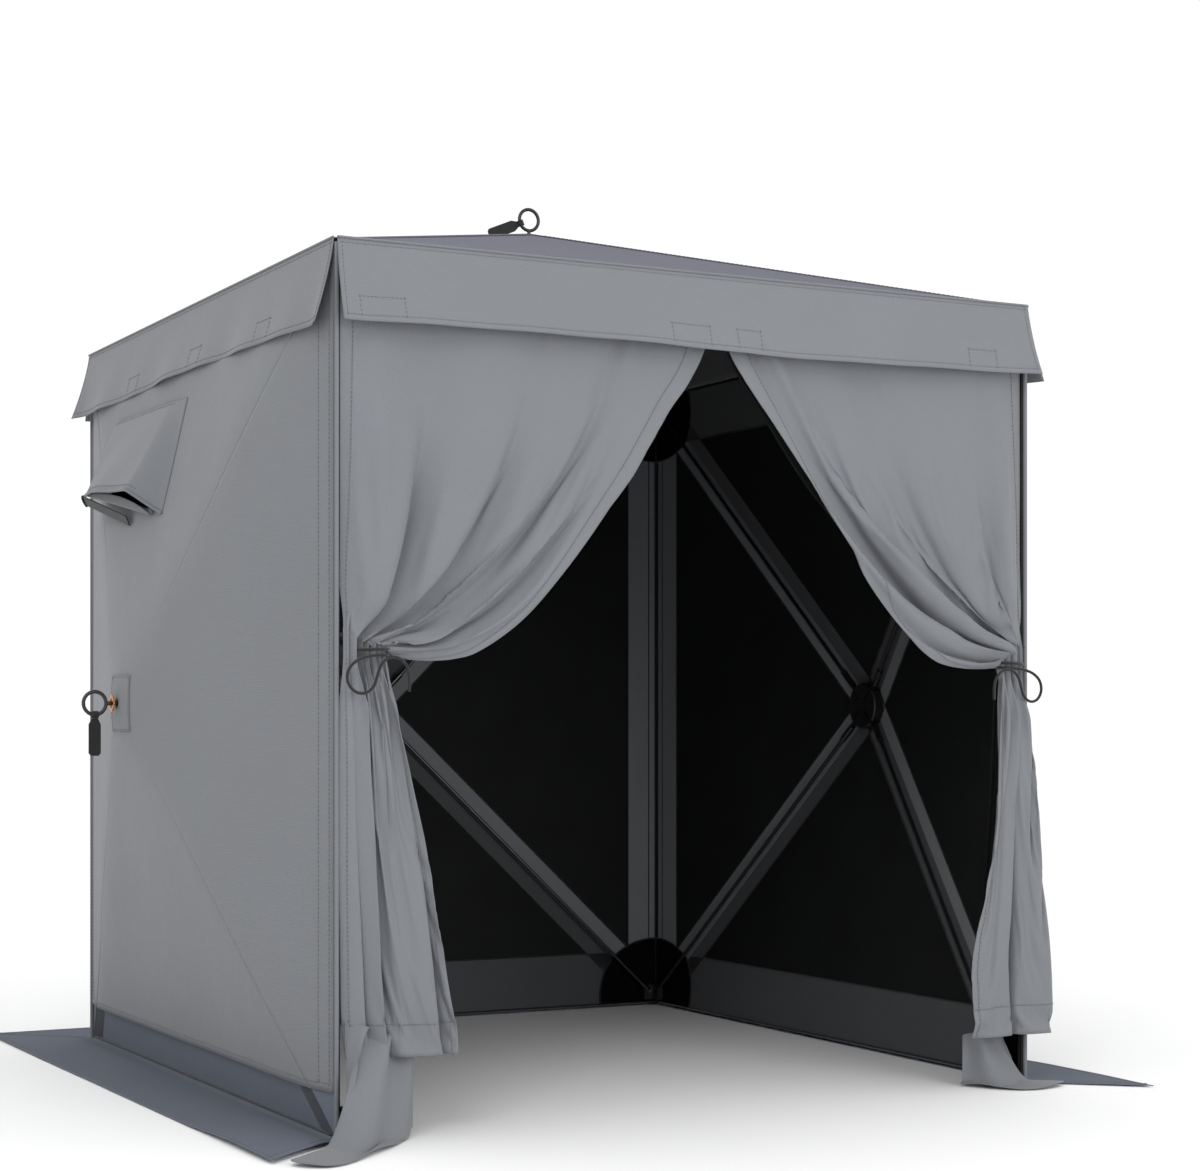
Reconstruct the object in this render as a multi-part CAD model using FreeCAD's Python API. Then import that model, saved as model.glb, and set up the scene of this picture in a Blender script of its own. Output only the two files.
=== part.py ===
import FreeCAD, Part
import math
import os
from dataclasses import dataclass

from FreeCAD import Vector

# Privacy shower tent, millimetres. Origin on the ground under the middle of the roof,
# +Z up, front (door) towards -Y, the vented wall towards -X.

# ---- overall size ----
PLAN_SIDE = 1830.0
EAVE_HEIGHT = 1935.0
ROOF_RISE = 260.0
WALL_BULGE = 200.0
HUB_HEIGHT = 945.0

# ---- screens: four sewn triangles to a panel ----
EDGE_INSET = 8.0
GROUND_HEM_HEIGHT = 12.0
EAVE_HEM_DROP = 10.0
ROOF_HEM_RISE = 2.0
HEM_DIAMETER = 8.0
SCREEN_THICKNESS = 1.6
BAND_THICKNESS = 3.0
CORNER_BAND_WIDTH = 90.0
LOWER_BAND_WIDTH = 155.0
PANEL_CLEARANCE = 2.0

# ---- poles ----
POLE_DIAMETER = 11.0
POLE_TIP_DIAMETER = 14.0
POLE_TIP_LENGTH = 16.0
FERRULE_DIAMETER = 18.0
FERRULE_LENGTH = 55.0
TONGUE_THICKNESS = 6.0
TONGUE_HEIGHT = 16.0
TONGUE_SLOT_WIDTH = 9.0
TONGUE_SLOT_PLAY = 1.0

# ---- hubs ----
HUB_DIAMETER = 130.0
HUB_CORE_THICKNESS = 27.0
HUB_CAP_THICKNESS = 4.0
HUB_DOME_RISE = 4.0
HUB_EDGE_CHAMFER = 3.0
HUB_PIN_CIRCLE_RADIUS = 48.0
HUB_PIN_DIAMETER = 5.0
HUB_PIN_HOLD = 7.0
HUB_SLOT_WIDTH = 8.0

# ---- pull rings, grommets and straps ----
RING_OUTER_DIAMETER = 65.0
RING_TUBE_DIAMETER = 9.0
RING_NECK = 44.0
ROOF_RING_NECK = 37.0
SHANK_DIAMETER = 10.0
SHANK_SEAT_DEPTH = 12.0
COLLAR_DIAMETER = 18.0
COLLAR_THICKNESS = 3.0
GROMMET_DIAMETER = 41.0
GROMMET_HOLE_DIAMETER = 22.0
GROMMET_THICKNESS = 3.0
STRAP_WIDTH = 30.0
STRAP_LENGTH = 100.0
STRAP_THICKNESS = 3.0
STRAP_LOOP_WIDTH = 16.0
STRAP_SHOULDER = 14.0
ROOF_STRAP_DROOP_DEG = 23.0

# ---- corner sockets ----
SOCKET_REACH = 56.0
SOCKET_EDGE_GAP = 10.0
SOCKET_THICKNESS = 18.0
SOCKET_CORNER_RADIUS = 5.0
FIT_CLEARANCE = 0.3

# ---- privacy covers ----
COVER_THICKNESS = 2.0
COVER_EDGE_GAP = 8.0
COVER_RISE = 222.0
COVER_SIDE_INSET = 6.0
COVER_HEM_HEIGHT = 105.0
COVER_TOP_DROP = 5.0

# ---- vent hood on the left cover ----
HOOD_WIDTH = 560.0
HOOD_CENTRE_FROM_HUB = 190.0
HOOD_TOP_DROP = 246.0
HOOD_LENGTH = 262.0
HOOD_OPEN_DEG = 15.0
HOOD_THICKNESS = 3.0
HOOD_BOW = 24.0
HOOD_STAND_OFF = 7.0
VENT_HEIGHT = 120.0
VENT_SIDE_MARGIN = 40.0
STAY_WIDTH = 22.0
STAY_THICKNESS = 3.0
STAY_LENGTH = 130.0
STAY_DROOP_DEG = 14.0
STAY_PAD_DIAMETER = 26.0
STAY_PAD_THICKNESS = 7.0
STAY_GAP = 1.0

# ---- valances, seams and ground flaps ----
VALANCE_DROP = 180.0
VALANCE_STAND_OFF = 14.0
VALANCE_FLARE = 40.0
VALANCE_THICKNESS = 2.0
VALANCE_RETURN = 16.0
VALANCE_CORNER_SLIT = 7.0
SEAM_DIAMETER = 10.0
SEAM_STAND_OFF = 6.0
FLAP_WIDTH = 255.0
FLAP_THICKNESS = 2.5
FLAP_LAP = 10.0
FLAP_FRONT_CUT = 80.0

# ---- front door, tied back ----
DOOR_TOP_DROP = 12.0
CURTAIN_EDGE_GAP = 6.0
CURTAIN_SHOULDER_RISE = 150.0
CURTAIN_THICKNESS = 10.0
MESH_DOOR_THICKNESS = 16.0
LAYER_GAP = 2.0
DOOR_CENTRE_GAP = 3.0
DOOR_EDGE_GAP = 18.0
WAIST_RADIUS = 30.0
CORD_DIAMETER = 7.0
CORD_WRAP_RADIUS = 46.0
CORD_WRAP_START_DEG = 30.0
CORD_WRAP_STEP_DEG = 30.0
CORD_WRAP_STEPS = 20
CORD_WRAP_PITCH = 12.0
CORD_CORNER_HEIGHT = 1088.0
BOW_DROP = 84.0
LEFT_KNOT_INSET = 69.0
LEFT_KNOT_HEIGHT = 1057.0
RIGHT_KNOT_INSET = 53.0
RIGHT_KNOT_HEIGHT = 1046.0
BUNDLE_WIDTH = 254.0
BUNDLE_DEPTH = 76.0
MESH_BUNDLE_DEPTH = 62.0
MOUND_HEIGHT = 70.0

# ---- worked out from the sizes above ----
HALF_SIDE = PLAN_SIDE / 2
HINGE_HALF = HALF_SIDE - EDGE_INSET
RING_RADIUS = (RING_OUTER_DIAMETER - RING_TUBE_DIAMETER) / 2
STRAP_BEND = RING_RADIUS - math.sqrt(RING_RADIUS**2 - (STRAP_LOOP_WIDTH / 2) ** 2)
STRAP_LOOP_RADIUS = RING_TUBE_DIAMETER / 2 + STRAP_BEND + 1.0
HOOD_TOP_HEIGHT = EAVE_HEIGHT - HOOD_TOP_DROP
DOOR_TOP = EAVE_HEIGHT - DOOR_TOP_DROP
DOOR_FRONT = -HALF_SIDE - LAYER_GAP / 2
DOOR_BACK = -HALF_SIDE + LAYER_GAP / 2
LEFT_KNOT = Vector(-HALF_SIDE + LEFT_KNOT_INSET, -HALF_SIDE, LEFT_KNOT_HEIGHT)
RIGHT_KNOT = Vector(HALF_SIDE - RIGHT_KNOT_INSET, -HALF_SIDE, RIGHT_KNOT_HEIGHT)


@dataclass(frozen=True)
class Panel:
    """One hub panel, in its own axes: across, up and outward from the flat wall plane."""

    name: str
    origin: Vector
    across: Vector
    up: Vector
    outward: Vector
    low: float
    high: float
    hub_up: float
    rise: float
    ring_out: float
    side_names: tuple
    level_names: tuple

    def point(self, across, up, outward):
        """A place in the panel's axes as a place in the tent's axes."""
        return self.origin + self.across * across + self.up * up + self.outward * outward

    def direction(self, across, up, outward):
        """A direction in the panel's axes as one in the tent's axes."""
        return self.across * across + self.up * up + self.outward * outward

    def place(self, shape):
        """Moves a shape that was made in the panel's axes to where the panel stands."""
        return moved(shape, frame_matrix(self.across, self.up, self.outward, self.origin))

    def slope(self):
        """The steepest slope of the panel's screens."""
        nearest = min(HINGE_HALF, self.high - self.hub_up, self.hub_up - self.low)
        return self.rise / nearest


X_AXIS = Vector(1, 0, 0)
Y_AXIS = Vector(0, 1, 0)
Z_AXIS = Vector(0, 0, 1)


def wall_panel(name, outward, across, side_names):
    """A wall with its hub at HUB_HEIGHT, standing on the ground."""
    return Panel(
        name=name,
        origin=outward * HALF_SIDE,
        across=across,
        up=Z_AXIS,
        outward=outward,
        low=GROUND_HEM_HEIGHT,
        high=EAVE_HEIGHT - EAVE_HEM_DROP,
        hub_up=HUB_HEIGHT,
        rise=WALL_BULGE,
        ring_out=COVER_RISE + RING_NECK,
        side_names=side_names,
        level_names=("lower", "upper"),
    )


LEFT = wall_panel("left", -X_AXIS, -Y_AXIS, ("back", "front"))
BACK = wall_panel("back", Y_AXIS, -X_AXIS, ("right", "left"))
RIGHT = wall_panel("right", X_AXIS, Y_AXIS, ("front", "back"))
ROOF = Panel(
    name="roof",
    origin=Z_AXIS * (EAVE_HEIGHT + ROOF_HEM_RISE),
    across=X_AXIS,
    up=Y_AXIS,
    outward=Z_AXIS,
    low=-HINGE_HALF,
    high=HINGE_HALF,
    hub_up=0.0,
    rise=ROOF_RISE,
    ring_out=ROOF_RISE + ROOF_RING_NECK,
    side_names=("left", "right"),
    level_names=("front", "back"),
)
WALLS = (LEFT, BACK, RIGHT)
PANELS = (LEFT, BACK, RIGHT, ROOF)
SIGNS = (-1, 1)


def name_at(names, sign):
    """The name that belongs to the low side (-1) or the high side (+1)."""
    return names[0] if sign < 0 else names[1]


def export(name, shape):
    """Writes one sub-part to its own file."""
    shape.exportStep(f"parts/{name}.step")


def prism(points, height):
    """A straight solid over an outline in the XY plane, half of it on either side."""
    wire = Part.makePolygon([Vector(x, y, -height / 2) for x, y in (*points, points[0])])
    return Part.Face(wire).extrude(Vector(0, 0, height))


def rod(start, end, radius):
    """A round bar between two places."""
    return Part.makeCylinder(radius, (end - start).Length, start, end - start)


def frame_matrix(x_dir, y_dir, z_dir, origin):
    """The matrix that carries the world axes onto the given ones."""
    columns = zip(*(tuple(v) for v in (x_dir, y_dir, z_dir, origin)))
    rows = [value for row in columns for value in row]
    return FreeCAD.Matrix(*rows, 0, 0, 0, 1)


def moved(shape, matrix):
    """A copy of the shape, carried by the matrix."""
    copy = shape.copy()
    copy.transformShape(matrix, True)
    return copy


# ---- pole geometry in a panel's axes ----


def socket_face(panel):
    """How deep behind the wall plane the sockets start, clear of a popped-in screen."""
    return SOCKET_REACH * panel.slope() + BAND_THICKNESS / 2 + PANEL_CLEARANCE


def tip_place(panel, side, level):
    """The centre of a pole's barrel tip."""
    inset = (SOCKET_EDGE_GAP + SOCKET_REACH) / 2
    edge = panel.high - inset if level > 0 else panel.low + inset
    depth = socket_face(panel) + SOCKET_THICKNESS / 2
    return Vector(side * (HINGE_HALF - inset), edge, -depth)


def hub_place(panel):
    """The middle of the hub in its pins' plane, popped out, with its rim under the screens."""
    cap = HUB_CORE_THICKNESS / 2 + HUB_CAP_THICKNESS
    under_cloth = SCREEN_THICKNESS / 2 + PANEL_CLEARANCE
    depth = panel.slope() * HUB_DIAMETER / 2 + cap + under_cloth
    return Vector(0, panel.hub_up, panel.rise - depth)


def pole_plan(panel, side, level):
    """The pole's direction in the wall plane, and its plan length from tip to hub pin."""
    tip = tip_place(panel, side, level)
    flat = Vector(-tip.x, panel.hub_up - tip.y, 0)
    direction = Vector(flat)
    direction.normalize()
    return direction, flat.Length - HUB_PIN_CIRCLE_RADIUS


def pole_reach(panel, side, level):
    """The greatest distance from tip to hub pin, with the panel popped out or in."""
    plan = pole_plan(panel, side, level)[1]
    out = hub_place(panel).z - tip_place(panel, side, level).z
    return math.hypot(plan, max(out, 2 * panel.rise - out))


def overshoot(panel, flat_distance):
    """How far a screen's point runs past the hub's axis as the panel passes the flat."""
    return math.hypot(flat_distance, panel.rise) - flat_distance


# ---- hub ----


def hub(panel):
    """A moulded disc with four slots, a pin across each, and a domed cap."""
    radius = HUB_DIAMETER / 2
    half = HUB_CORE_THICKNESS / 2
    top = half + HUB_CAP_THICKNESS
    edge = HUB_EDGE_CHAMFER
    dome_start = Vector(radius - edge, 0, top)
    dome_middle = Vector(radius / 2, 0, top + HUB_DOME_RISE * 0.75)
    dome_end = Vector(0, 0, top + HUB_DOME_RISE)
    outline = [
        dome_end,
        Vector(0, 0, -half),
        Vector(radius - edge, 0, -half),
        Vector(radius, 0, -half + edge),
        Vector(radius, 0, top - edge),
        dome_start,
    ]
    dome = Part.Arc(dome_start, dome_middle, dome_end).toShape()
    edges = [*Part.makePolygon(outline).Edges, dome]
    body = Part.Face(Part.Wire(edges)).revolve(Vector(), Z_AXIS, 360)
    pins = []
    cuts = []
    for side in SIGNS:
        for level in SIGNS:
            direction = pole_plan(panel, side, level)[0]
            angle = math.degrees(math.atan2(-direction.y, -direction.x))
            tongue_end = TONGUE_HEIGHT / 2 + PANEL_CLEARANCE
            play = pole_reach(panel, side, level) - pole_plan(panel, side, level)[1]
            bottom = HUB_PIN_CIRCLE_RADIUS - tongue_end - play
            slot = Part.makeBox(
                radius, HUB_SLOT_WIDTH, HUB_CORE_THICKNESS,
                Vector(bottom, -HUB_SLOT_WIDTH / 2, -half),
            )
            slot.rotate(Vector(), Z_AXIS, angle)
            cuts.append(slot)
            reach = HUB_SLOT_WIDTH / 2 + HUB_PIN_HOLD
            pin = rod(
                Vector(HUB_PIN_CIRCLE_RADIUS, -reach, 0),
                Vector(HUB_PIN_CIRCLE_RADIUS, reach, 0),
                HUB_PIN_DIAMETER / 2,
            )
            pin.rotate(Vector(), Z_AXIS, angle)
            pins.append(pin)
    seat_base = Vector(0, 0, top + HUB_DOME_RISE - SHANK_SEAT_DEPTH)
    seat_radius = SHANK_DIAMETER / 2 + FIT_CLEARANCE
    cuts.append(Part.makeCylinder(seat_radius, SHANK_SEAT_DEPTH, seat_base))
    body = body.cut(cuts).fuse(pins).removeSplitter()
    body.translate(hub_place(panel))
    return panel.place(body)


# ---- poles ----


def long_outline(start, end, radius):
    """A closed outline with two straight sides and two round ends, in the X-Z plane."""
    above = Vector(0, 0, radius)
    left = Vector(start, 0, 0)
    right = Vector(end, 0, 0)
    return Part.Wire([
        Part.LineSegment(left + above, right + above).toShape(),
        Part.Arc(right + above, right + X_AXIS * radius, right - above).toShape(),
        Part.LineSegment(right - above, left - above).toShape(),
        Part.Arc(left - above, left - X_AXIS * radius, left + above).toShape(),
    ])


def pole(panel, side, level):
    """A round pole with a barrel tip, an end ferrule and a flat tongue with a long hole."""
    tip = tip_place(panel, side, level)
    direction, plan = pole_plan(panel, side, level)
    pin = tip + direction * plan
    pin.z = hub_place(panel).z
    rim_reach = HUB_DIAMETER / 2 - HUB_PIN_CIRCLE_RADIUS + PANEL_CLEARANCE
    tongue_start = plan - rim_reach
    hole_start = plan - TONGUE_SLOT_PLAY
    hole_end = pole_reach(panel, side, level) + TONGUE_SLOT_PLAY
    ferrule_start = tongue_start - FERRULE_LENGTH
    half_tip = Vector(0, POLE_TIP_LENGTH / 2, 0)
    barrel = rod(-half_tip, half_tip, POLE_TIP_DIAMETER / 2)
    shaft = rod(Vector(), Vector(ferrule_start, 0, 0), POLE_DIAMETER / 2)
    ferrule = rod(
        Vector(ferrule_start, 0, 0), Vector(tongue_start, 0, 0), FERRULE_DIAMETER / 2
    )
    across = Vector(0, TONGUE_THICKNESS, 0)
    tongue_root = tongue_start - FERRULE_LENGTH / 2
    tongue = Part.Face(long_outline(tongue_root, hole_end, TONGUE_HEIGHT / 2)).extrude(across)
    hole = Part.Face(long_outline(hole_start, hole_end, TONGUE_SLOT_WIDTH / 2)).extrude(across)
    tongue = tongue.cut(hole)
    tongue.translate(across * -0.5)
    body = barrel.fuse([shaft, ferrule, tongue])
    along = pin - tip
    along.normalize()
    tangent = Z_AXIS.cross(direction)
    body = moved(body.removeSplitter(), frame_matrix(along, tangent, along.cross(tangent), tip))
    return panel.place(body)


# ---- screens ----


def screen(panel, start, end, band_width=0.0):
    """A triangle of cloth from a hinge line to the hub, with its hem and sewn-on band."""
    apex = Vector(0, panel.hub_up, panel.rise)
    along = end - start
    width = along.Length
    along.normalize()
    foot_along = (apex - start).dot(along)
    foot = start + along * foot_along
    up = apex - foot
    height = up.Length
    up.normalize()
    normal = along.cross(up)
    flat_distance = math.hypot(foot.x, foot.y - panel.hub_up)
    past = overshoot(panel, flat_distance)
    first_crease = math.hypot(foot_along, height)
    second_crease = math.hypot(width - foot_along, height)
    first_trim = past * foot_along / first_crease + PANEL_CLEARANCE
    second_trim = past * (width - foot_along) / second_crease + PANEL_CLEARANCE
    left = first_trim * first_crease / height
    right = width - second_trim * second_crease / height
    top_along = (left * (width - foot_along) + right * foot_along) / width
    top_up = (top_along - left) * height / foot_along
    cloth = prism([(left, 0), (right, 0), (top_along, top_up)], SCREEN_THICKNESS)
    hem = rod(Vector(left, 0, 0), Vector(right, 0, 0), HEM_DIAMETER / 2)
    pieces = [hem]
    if band_width:
        share = band_width / top_up
        band_outline = [
            (left, 0),
            (right, 0),
            (right - (right - top_along) * share, band_width),
            (left + (top_along - left) * share, band_width),
        ]
        pieces.append(prism(band_outline, BAND_THICKNESS))
    body = moved(cloth.fuse(pieces), frame_matrix(along, up, normal, start))
    shank_reach = SHANK_DIAMETER / 2 + past + PANEL_CLEARANCE
    shank_room = Part.makeCylinder(
        shank_reach, 2 * panel.rise, Vector(0, panel.hub_up, 0), Z_AXIS
    )
    return panel.place(body.cut(shank_room).removeSplitter())


def panel_screens(panel):
    """The four screens of a panel, by node name."""
    is_roof = panel is ROOF
    stem = "roof_gore" if is_roof else f"screen_{panel.name}"
    screens = {}
    for level in SIGNS:
        edge = panel.high if level > 0 else panel.low
        band = LOWER_BAND_WIDTH if level < 0 and not is_roof else 0.0
        start = Vector(-HINGE_HALF, edge, 0)
        end = Vector(HINGE_HALF, edge, 0)
        name = f"{stem}_{name_at(panel.level_names, level)}"
        screens[name] = screen(panel, start, end, band)
    for side in SIGNS:
        band = 0.0 if is_roof else CORNER_BAND_WIDTH
        start = Vector(side * HINGE_HALF, panel.low, 0)
        end = Vector(side * HINGE_HALF, panel.high, 0)
        name = f"{stem}_{name_at(panel.side_names, side)}"
        screens[name] = screen(panel, start, end, band)
    return screens


# ---- corner sockets ----


def socket_block(panel, side, level):
    """The plain block that holds one pole tip, in the tent's axes."""
    near = SOCKET_EDGE_GAP
    face = socket_face(panel)
    span = SOCKET_REACH - near
    left = HINGE_HALF - SOCKET_REACH if side > 0 else -HINGE_HALF + near
    bottom = panel.high - SOCKET_REACH if level > 0 else panel.low + near
    block = Part.makeBox(
        span, span, SOCKET_THICKNESS, Vector(left, bottom, -face - SOCKET_THICKNESS)
    )
    corners = [e for e in block.Edges if e.BoundBox.ZLength > SOCKET_THICKNESS / 2]
    return panel.place(block.makeFillet(SOCKET_CORNER_RADIUS, corners))


def socket_room(panel, side, level):
    """The barrel seat and the slot that the pole swings in, in the tent's axes."""
    tip = tip_place(panel, side, level)
    direction = pole_plan(panel, side, level)[0]
    half_seat = Z_AXIS.cross(direction) * (POLE_TIP_LENGTH / 2 + FIT_CLEARANCE)
    seat = rod(tip - half_seat, tip + half_seat, POLE_TIP_DIAMETER / 2 + FIT_CLEARANCE)
    half_slot = POLE_DIAMETER / 2 + 1.0
    slot = Part.makeBox(
        SOCKET_REACH, 2 * half_slot, 2 * SOCKET_THICKNESS,
        Vector(0, -half_slot, -SOCKET_THICKNESS),
    )
    tangent = Z_AXIS.cross(direction)
    slot = moved(slot, frame_matrix(direction, tangent, Z_AXIS, tip))
    return panel.place(seat.fuse(slot))


def corner_sockets(level):
    """The four sockets at the ground (-1) or under the eaves (+1)."""
    brackets = []
    for x_sign in SIGNS:
        for y_sign in SIGNS:
            seats = []
            if x_sign < 0:
                seats.append((LEFT, -y_sign, level))
            else:
                seats.append((RIGHT, y_sign, level))
            if y_sign > 0:
                seats.append((BACK, -x_sign, level))
            if level > 0:
                seats.append((ROOF, x_sign, y_sign))
            blocks = [socket_block(*seat) for seat in seats]
            rooms = [socket_room(*seat) for seat in seats]
            bracket = blocks[0].fuse(blocks[1:]) if len(blocks) > 1 else blocks[0]
            brackets.append(bracket.cut(rooms).removeSplitter())
    return Part.makeCompound(brackets)


# ---- pull rings and straps ----


def ring_place(panel):
    """The middle of the pull ring in the panel's axes."""
    return Vector(0, panel.hub_up, panel.ring_out)


def pull_ring(panel):
    """A ring on a shank that seats in the hub, with its collar, and a wall's grommet."""
    centre = ring_place(panel)
    hub_top = hub_place(panel).z + HUB_CORE_THICKNESS / 2 + HUB_CAP_THICKNESS + HUB_DOME_RISE
    ring_axis = Y_AXIS if panel is ROOF else X_AXIS
    ring = Part.makeTorus(RING_RADIUS, RING_TUBE_DIAMETER / 2, centre, ring_axis)
    shank_start = Vector(0, panel.hub_up, hub_top - SHANK_SEAT_DEPTH)
    shank_end = centre - Z_AXIS * RING_RADIUS
    neck_base = shank_end - Z_AXIS * RING_TUBE_DIAMETER
    shank = rod(shank_start, neck_base, SHANK_DIAMETER / 2)
    neck = Part.makeCone(
        SHANK_DIAMETER / 2, RING_TUBE_DIAMETER * 0.48, RING_TUBE_DIAMETER, neck_base
    )
    collar = Part.makeCylinder(
        COLLAR_DIAMETER / 2, COLLAR_THICKNESS, Vector(0, panel.hub_up, hub_top)
    )
    solids = [ring.fuse([shank, neck, collar]).removeSplitter()]
    if panel is not ROOF:
        solids.append(grommet(panel))
    return panel.place(Part.makeCompound(solids))


def grommet(panel):
    """The rounded metal washer on the cover, round the shank."""
    base = Vector(0, panel.hub_up, COVER_RISE + FIT_CLEARANCE)
    washer = Part.makeCylinder(GROMMET_DIAMETER / 2, GROMMET_THICKNESS, base)
    hole = Part.makeCylinder(GROMMET_HOLE_DIAMETER / 2, GROMMET_THICKNESS, base)
    washer = washer.cut(hole)
    top = [e for e in washer.Edges if len(e.Vertexes) == 1 and e.CenterOfMass.z > base.z + 1]
    return washer.makeChamfer(GROMMET_THICKNESS * 0.4, top)


def strap_shape():
    """A webbing strap: a loop round the origin along Z, its tail hanging to -Y."""
    inner = STRAP_LOOP_RADIUS
    outer = inner + STRAP_THICKNESS
    half_loop = STRAP_LOOP_WIDTH / 2
    loop = Part.makeCylinder(outer, STRAP_LOOP_WIDTH, Vector(0, 0, -half_loop))
    loop = loop.cut(Part.makeCylinder(inner, STRAP_LOOP_WIDTH, Vector(0, 0, -half_loop)))
    half_width = STRAP_WIDTH / 2
    neck_end = -outer - STRAP_SHOULDER
    tail_end = -STRAP_LENGTH
    corner = STRAP_THICKNESS * 2
    outline = [
        Vector(-STRAP_THICKNESS / 2, -inner - STRAP_THICKNESS / 2, half_loop),
        Vector(-STRAP_THICKNESS / 2, -outer, half_loop),
        Vector(-STRAP_THICKNESS / 2, neck_end, half_width),
        Vector(-STRAP_THICKNESS / 2, tail_end + corner, half_width),
        Vector(-STRAP_THICKNESS / 2, tail_end, half_width - corner),
    ]
    mirrored = [Vector(p.x, p.y, -p.z) for p in reversed(outline)]
    wire = Part.makePolygon([*outline, *mirrored, outline[0]])
    tail = Part.Face(wire).extrude(Vector(STRAP_THICKNESS, 0, 0))
    return loop.fuse(tail).removeSplitter()


def strap(panel):
    """A wall's strap hangs from the foot of its ring; the roof's lies to the left."""
    centre = ring_place(panel)
    if panel is ROOF:
        droop = math.radians(ROOF_STRAP_DROOP_DEG)
        outward = Vector(-math.cos(droop), 0, -math.sin(droop))
        place = centre + outward * RING_RADIUS
        tangent = Vector(outward.z, 0, -outward.x)
        return panel.place(
            moved(strap_shape(), frame_matrix(Y_AXIS, -outward, tangent, place))
        )
    place = centre - Y_AXIS * RING_RADIUS
    return panel.place(moved(strap_shape(), frame_matrix(X_AXIS, Y_AXIS, Z_AXIS, place)))


# ---- privacy covers ----


def pyramid(half_width, low, high, base, apex):
    """A solid pyramid on a rectangle that stands in a wall's plane."""
    corners = [
        Vector(-half_width, low, base),
        Vector(half_width, low, base),
        Vector(half_width, high, base),
        Vector(-half_width, high, base),
    ]
    faces = [Part.Face(Part.makePolygon([*corners, corners[0]]))]
    for first, second in zip(corners, (*corners[1:], corners[0])):
        faces.append(Part.Face(Part.makePolygon([first, second, apex, first])))
    return Part.Solid(Part.makeShell(faces))


def cover_height(up):
    """How far the outer face of a cover stands out above the hub, at a height."""
    top = EAVE_HEIGHT - COVER_TOP_DROP
    share = (top - up) / (top - HUB_HEIGHT)
    return COVER_EDGE_GAP + (COVER_RISE - COVER_EDGE_GAP) * share


def cover(panel):
    """A four-sided pyramid of cloth over a wall, open below its hem."""
    half_width = HALF_SIDE - COVER_SIDE_INSET
    top = EAVE_HEIGHT - COVER_TOP_DROP
    apex = Vector(0, HUB_HEIGHT, COVER_RISE)
    skin = pyramid(half_width, 0, top, COVER_EDGE_GAP, apex)
    step = Vector(0, 0, -COVER_THICKNESS)
    inside = pyramid(half_width, 0, top, COVER_EDGE_GAP, apex)
    inside.translate(step)
    below_hem = Part.makeBox(
        PLAN_SIDE, COVER_HEM_HEIGHT, COVER_RISE, Vector(-HALF_SIDE, 0, 0)
    )
    hole = Part.makeCylinder(
        GROMMET_HOLE_DIAMETER / 2, COVER_RISE, Vector(0, HUB_HEIGHT, 0)
    )
    cuts = [inside, below_hem, hole]
    if panel is LEFT:
        vent_width = HOOD_WIDTH - 2 * VENT_SIDE_MARGIN
        vent_low = HOOD_TOP_HEIGHT - VENT_SIDE_MARGIN - VENT_HEIGHT
        vent_left = -HOOD_CENTRE_FROM_HUB - vent_width / 2
        cuts.append(
            Part.makeBox(vent_width, VENT_HEIGHT, COVER_RISE, Vector(vent_left, vent_low, 0))
        )
    return panel.place(skin.cut(cuts))


# ---- vent hood ----


def hood_hinge():
    """The hinge line's middle in the left panel's axes."""
    out = cover_height(HOOD_TOP_HEIGHT) + HOOD_STAND_OFF
    return Vector(-HOOD_CENTRE_FROM_HUB, HOOD_TOP_HEIGHT, out)


def hood_frame():
    """The propped hood's axes: across it, down along it, and out of it."""
    cover_slope = math.atan2(COVER_RISE - COVER_EDGE_GAP, EAVE_HEIGHT - COVER_TOP_DROP - HUB_HEIGHT)
    angle = cover_slope + math.radians(HOOD_OPEN_DEG)
    down = Vector(0, -math.cos(angle), math.sin(angle))
    out = X_AXIS.cross(down) * -1
    return frame_matrix(X_AXIS, down, out, hood_hinge())


def vent_hood():
    """A bowed flap: flat at its hinge hem, arched outward at its lip."""
    half = HOOD_WIDTH / 2
    thick = HOOD_THICKNESS

    def section(along, bow):
        """The flap's cross-section at a distance from the hinge."""
        ends = [Vector(-half, along, 0), Vector(half, along, 0)]
        crest = Vector(0, along, bow)
        lift = Vector(0, 0, thick)
        lower = Part.Arc(ends[0], crest, ends[1]).toShape()
        upper = Part.Arc(ends[1] + lift, crest + lift, ends[0] + lift).toShape()
        right = Part.LineSegment(ends[1], ends[1] + lift).toShape()
        left = Part.LineSegment(ends[0] + lift, ends[0]).toShape()
        return Part.Wire([lower, right, upper, left])

    flap = Part.makeLoft([section(0, thick / 2), section(HOOD_LENGTH, HOOD_BOW)], True, True)
    hem = rod(Vector(-half, 0, thick / 2), Vector(half, 0, thick / 2), HEM_DIAMETER / 2)
    return LEFT.place(moved(flap.fuse(hem), hood_frame()))


def hood_stay():
    """The stiff strip under the lip's far end, with a round pad at its outer end."""
    radius = STAY_WIDTH / 2
    outline = long_outline(0, STAY_LENGTH, radius)
    strip = Part.Face(outline).extrude(Y_AXIS * STAY_THICKNESS)
    pad_base = Y_AXIS * (STAY_THICKNESS - STAY_PAD_THICKNESS) / 2
    pad = Part.makeCylinder(STAY_PAD_DIAMETER / 2, STAY_PAD_THICKNESS, pad_base, Y_AXIS)
    stay = strip.fuse(pad).removeSplitter()
    stay.rotate(Vector(), X_AXIS, -90)
    stay.rotate(Vector(), Z_AXIS, STAY_DROOP_DEG)
    pad_reach = STAY_PAD_DIAMETER / 2
    stay.translate(Vector(pad_reach - HOOD_WIDTH / 2, HOOD_LENGTH + STAY_GAP + pad_reach, 0))
    return LEFT.place(moved(stay, hood_frame()))


# ---- valances, seams, ground flaps ----


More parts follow.
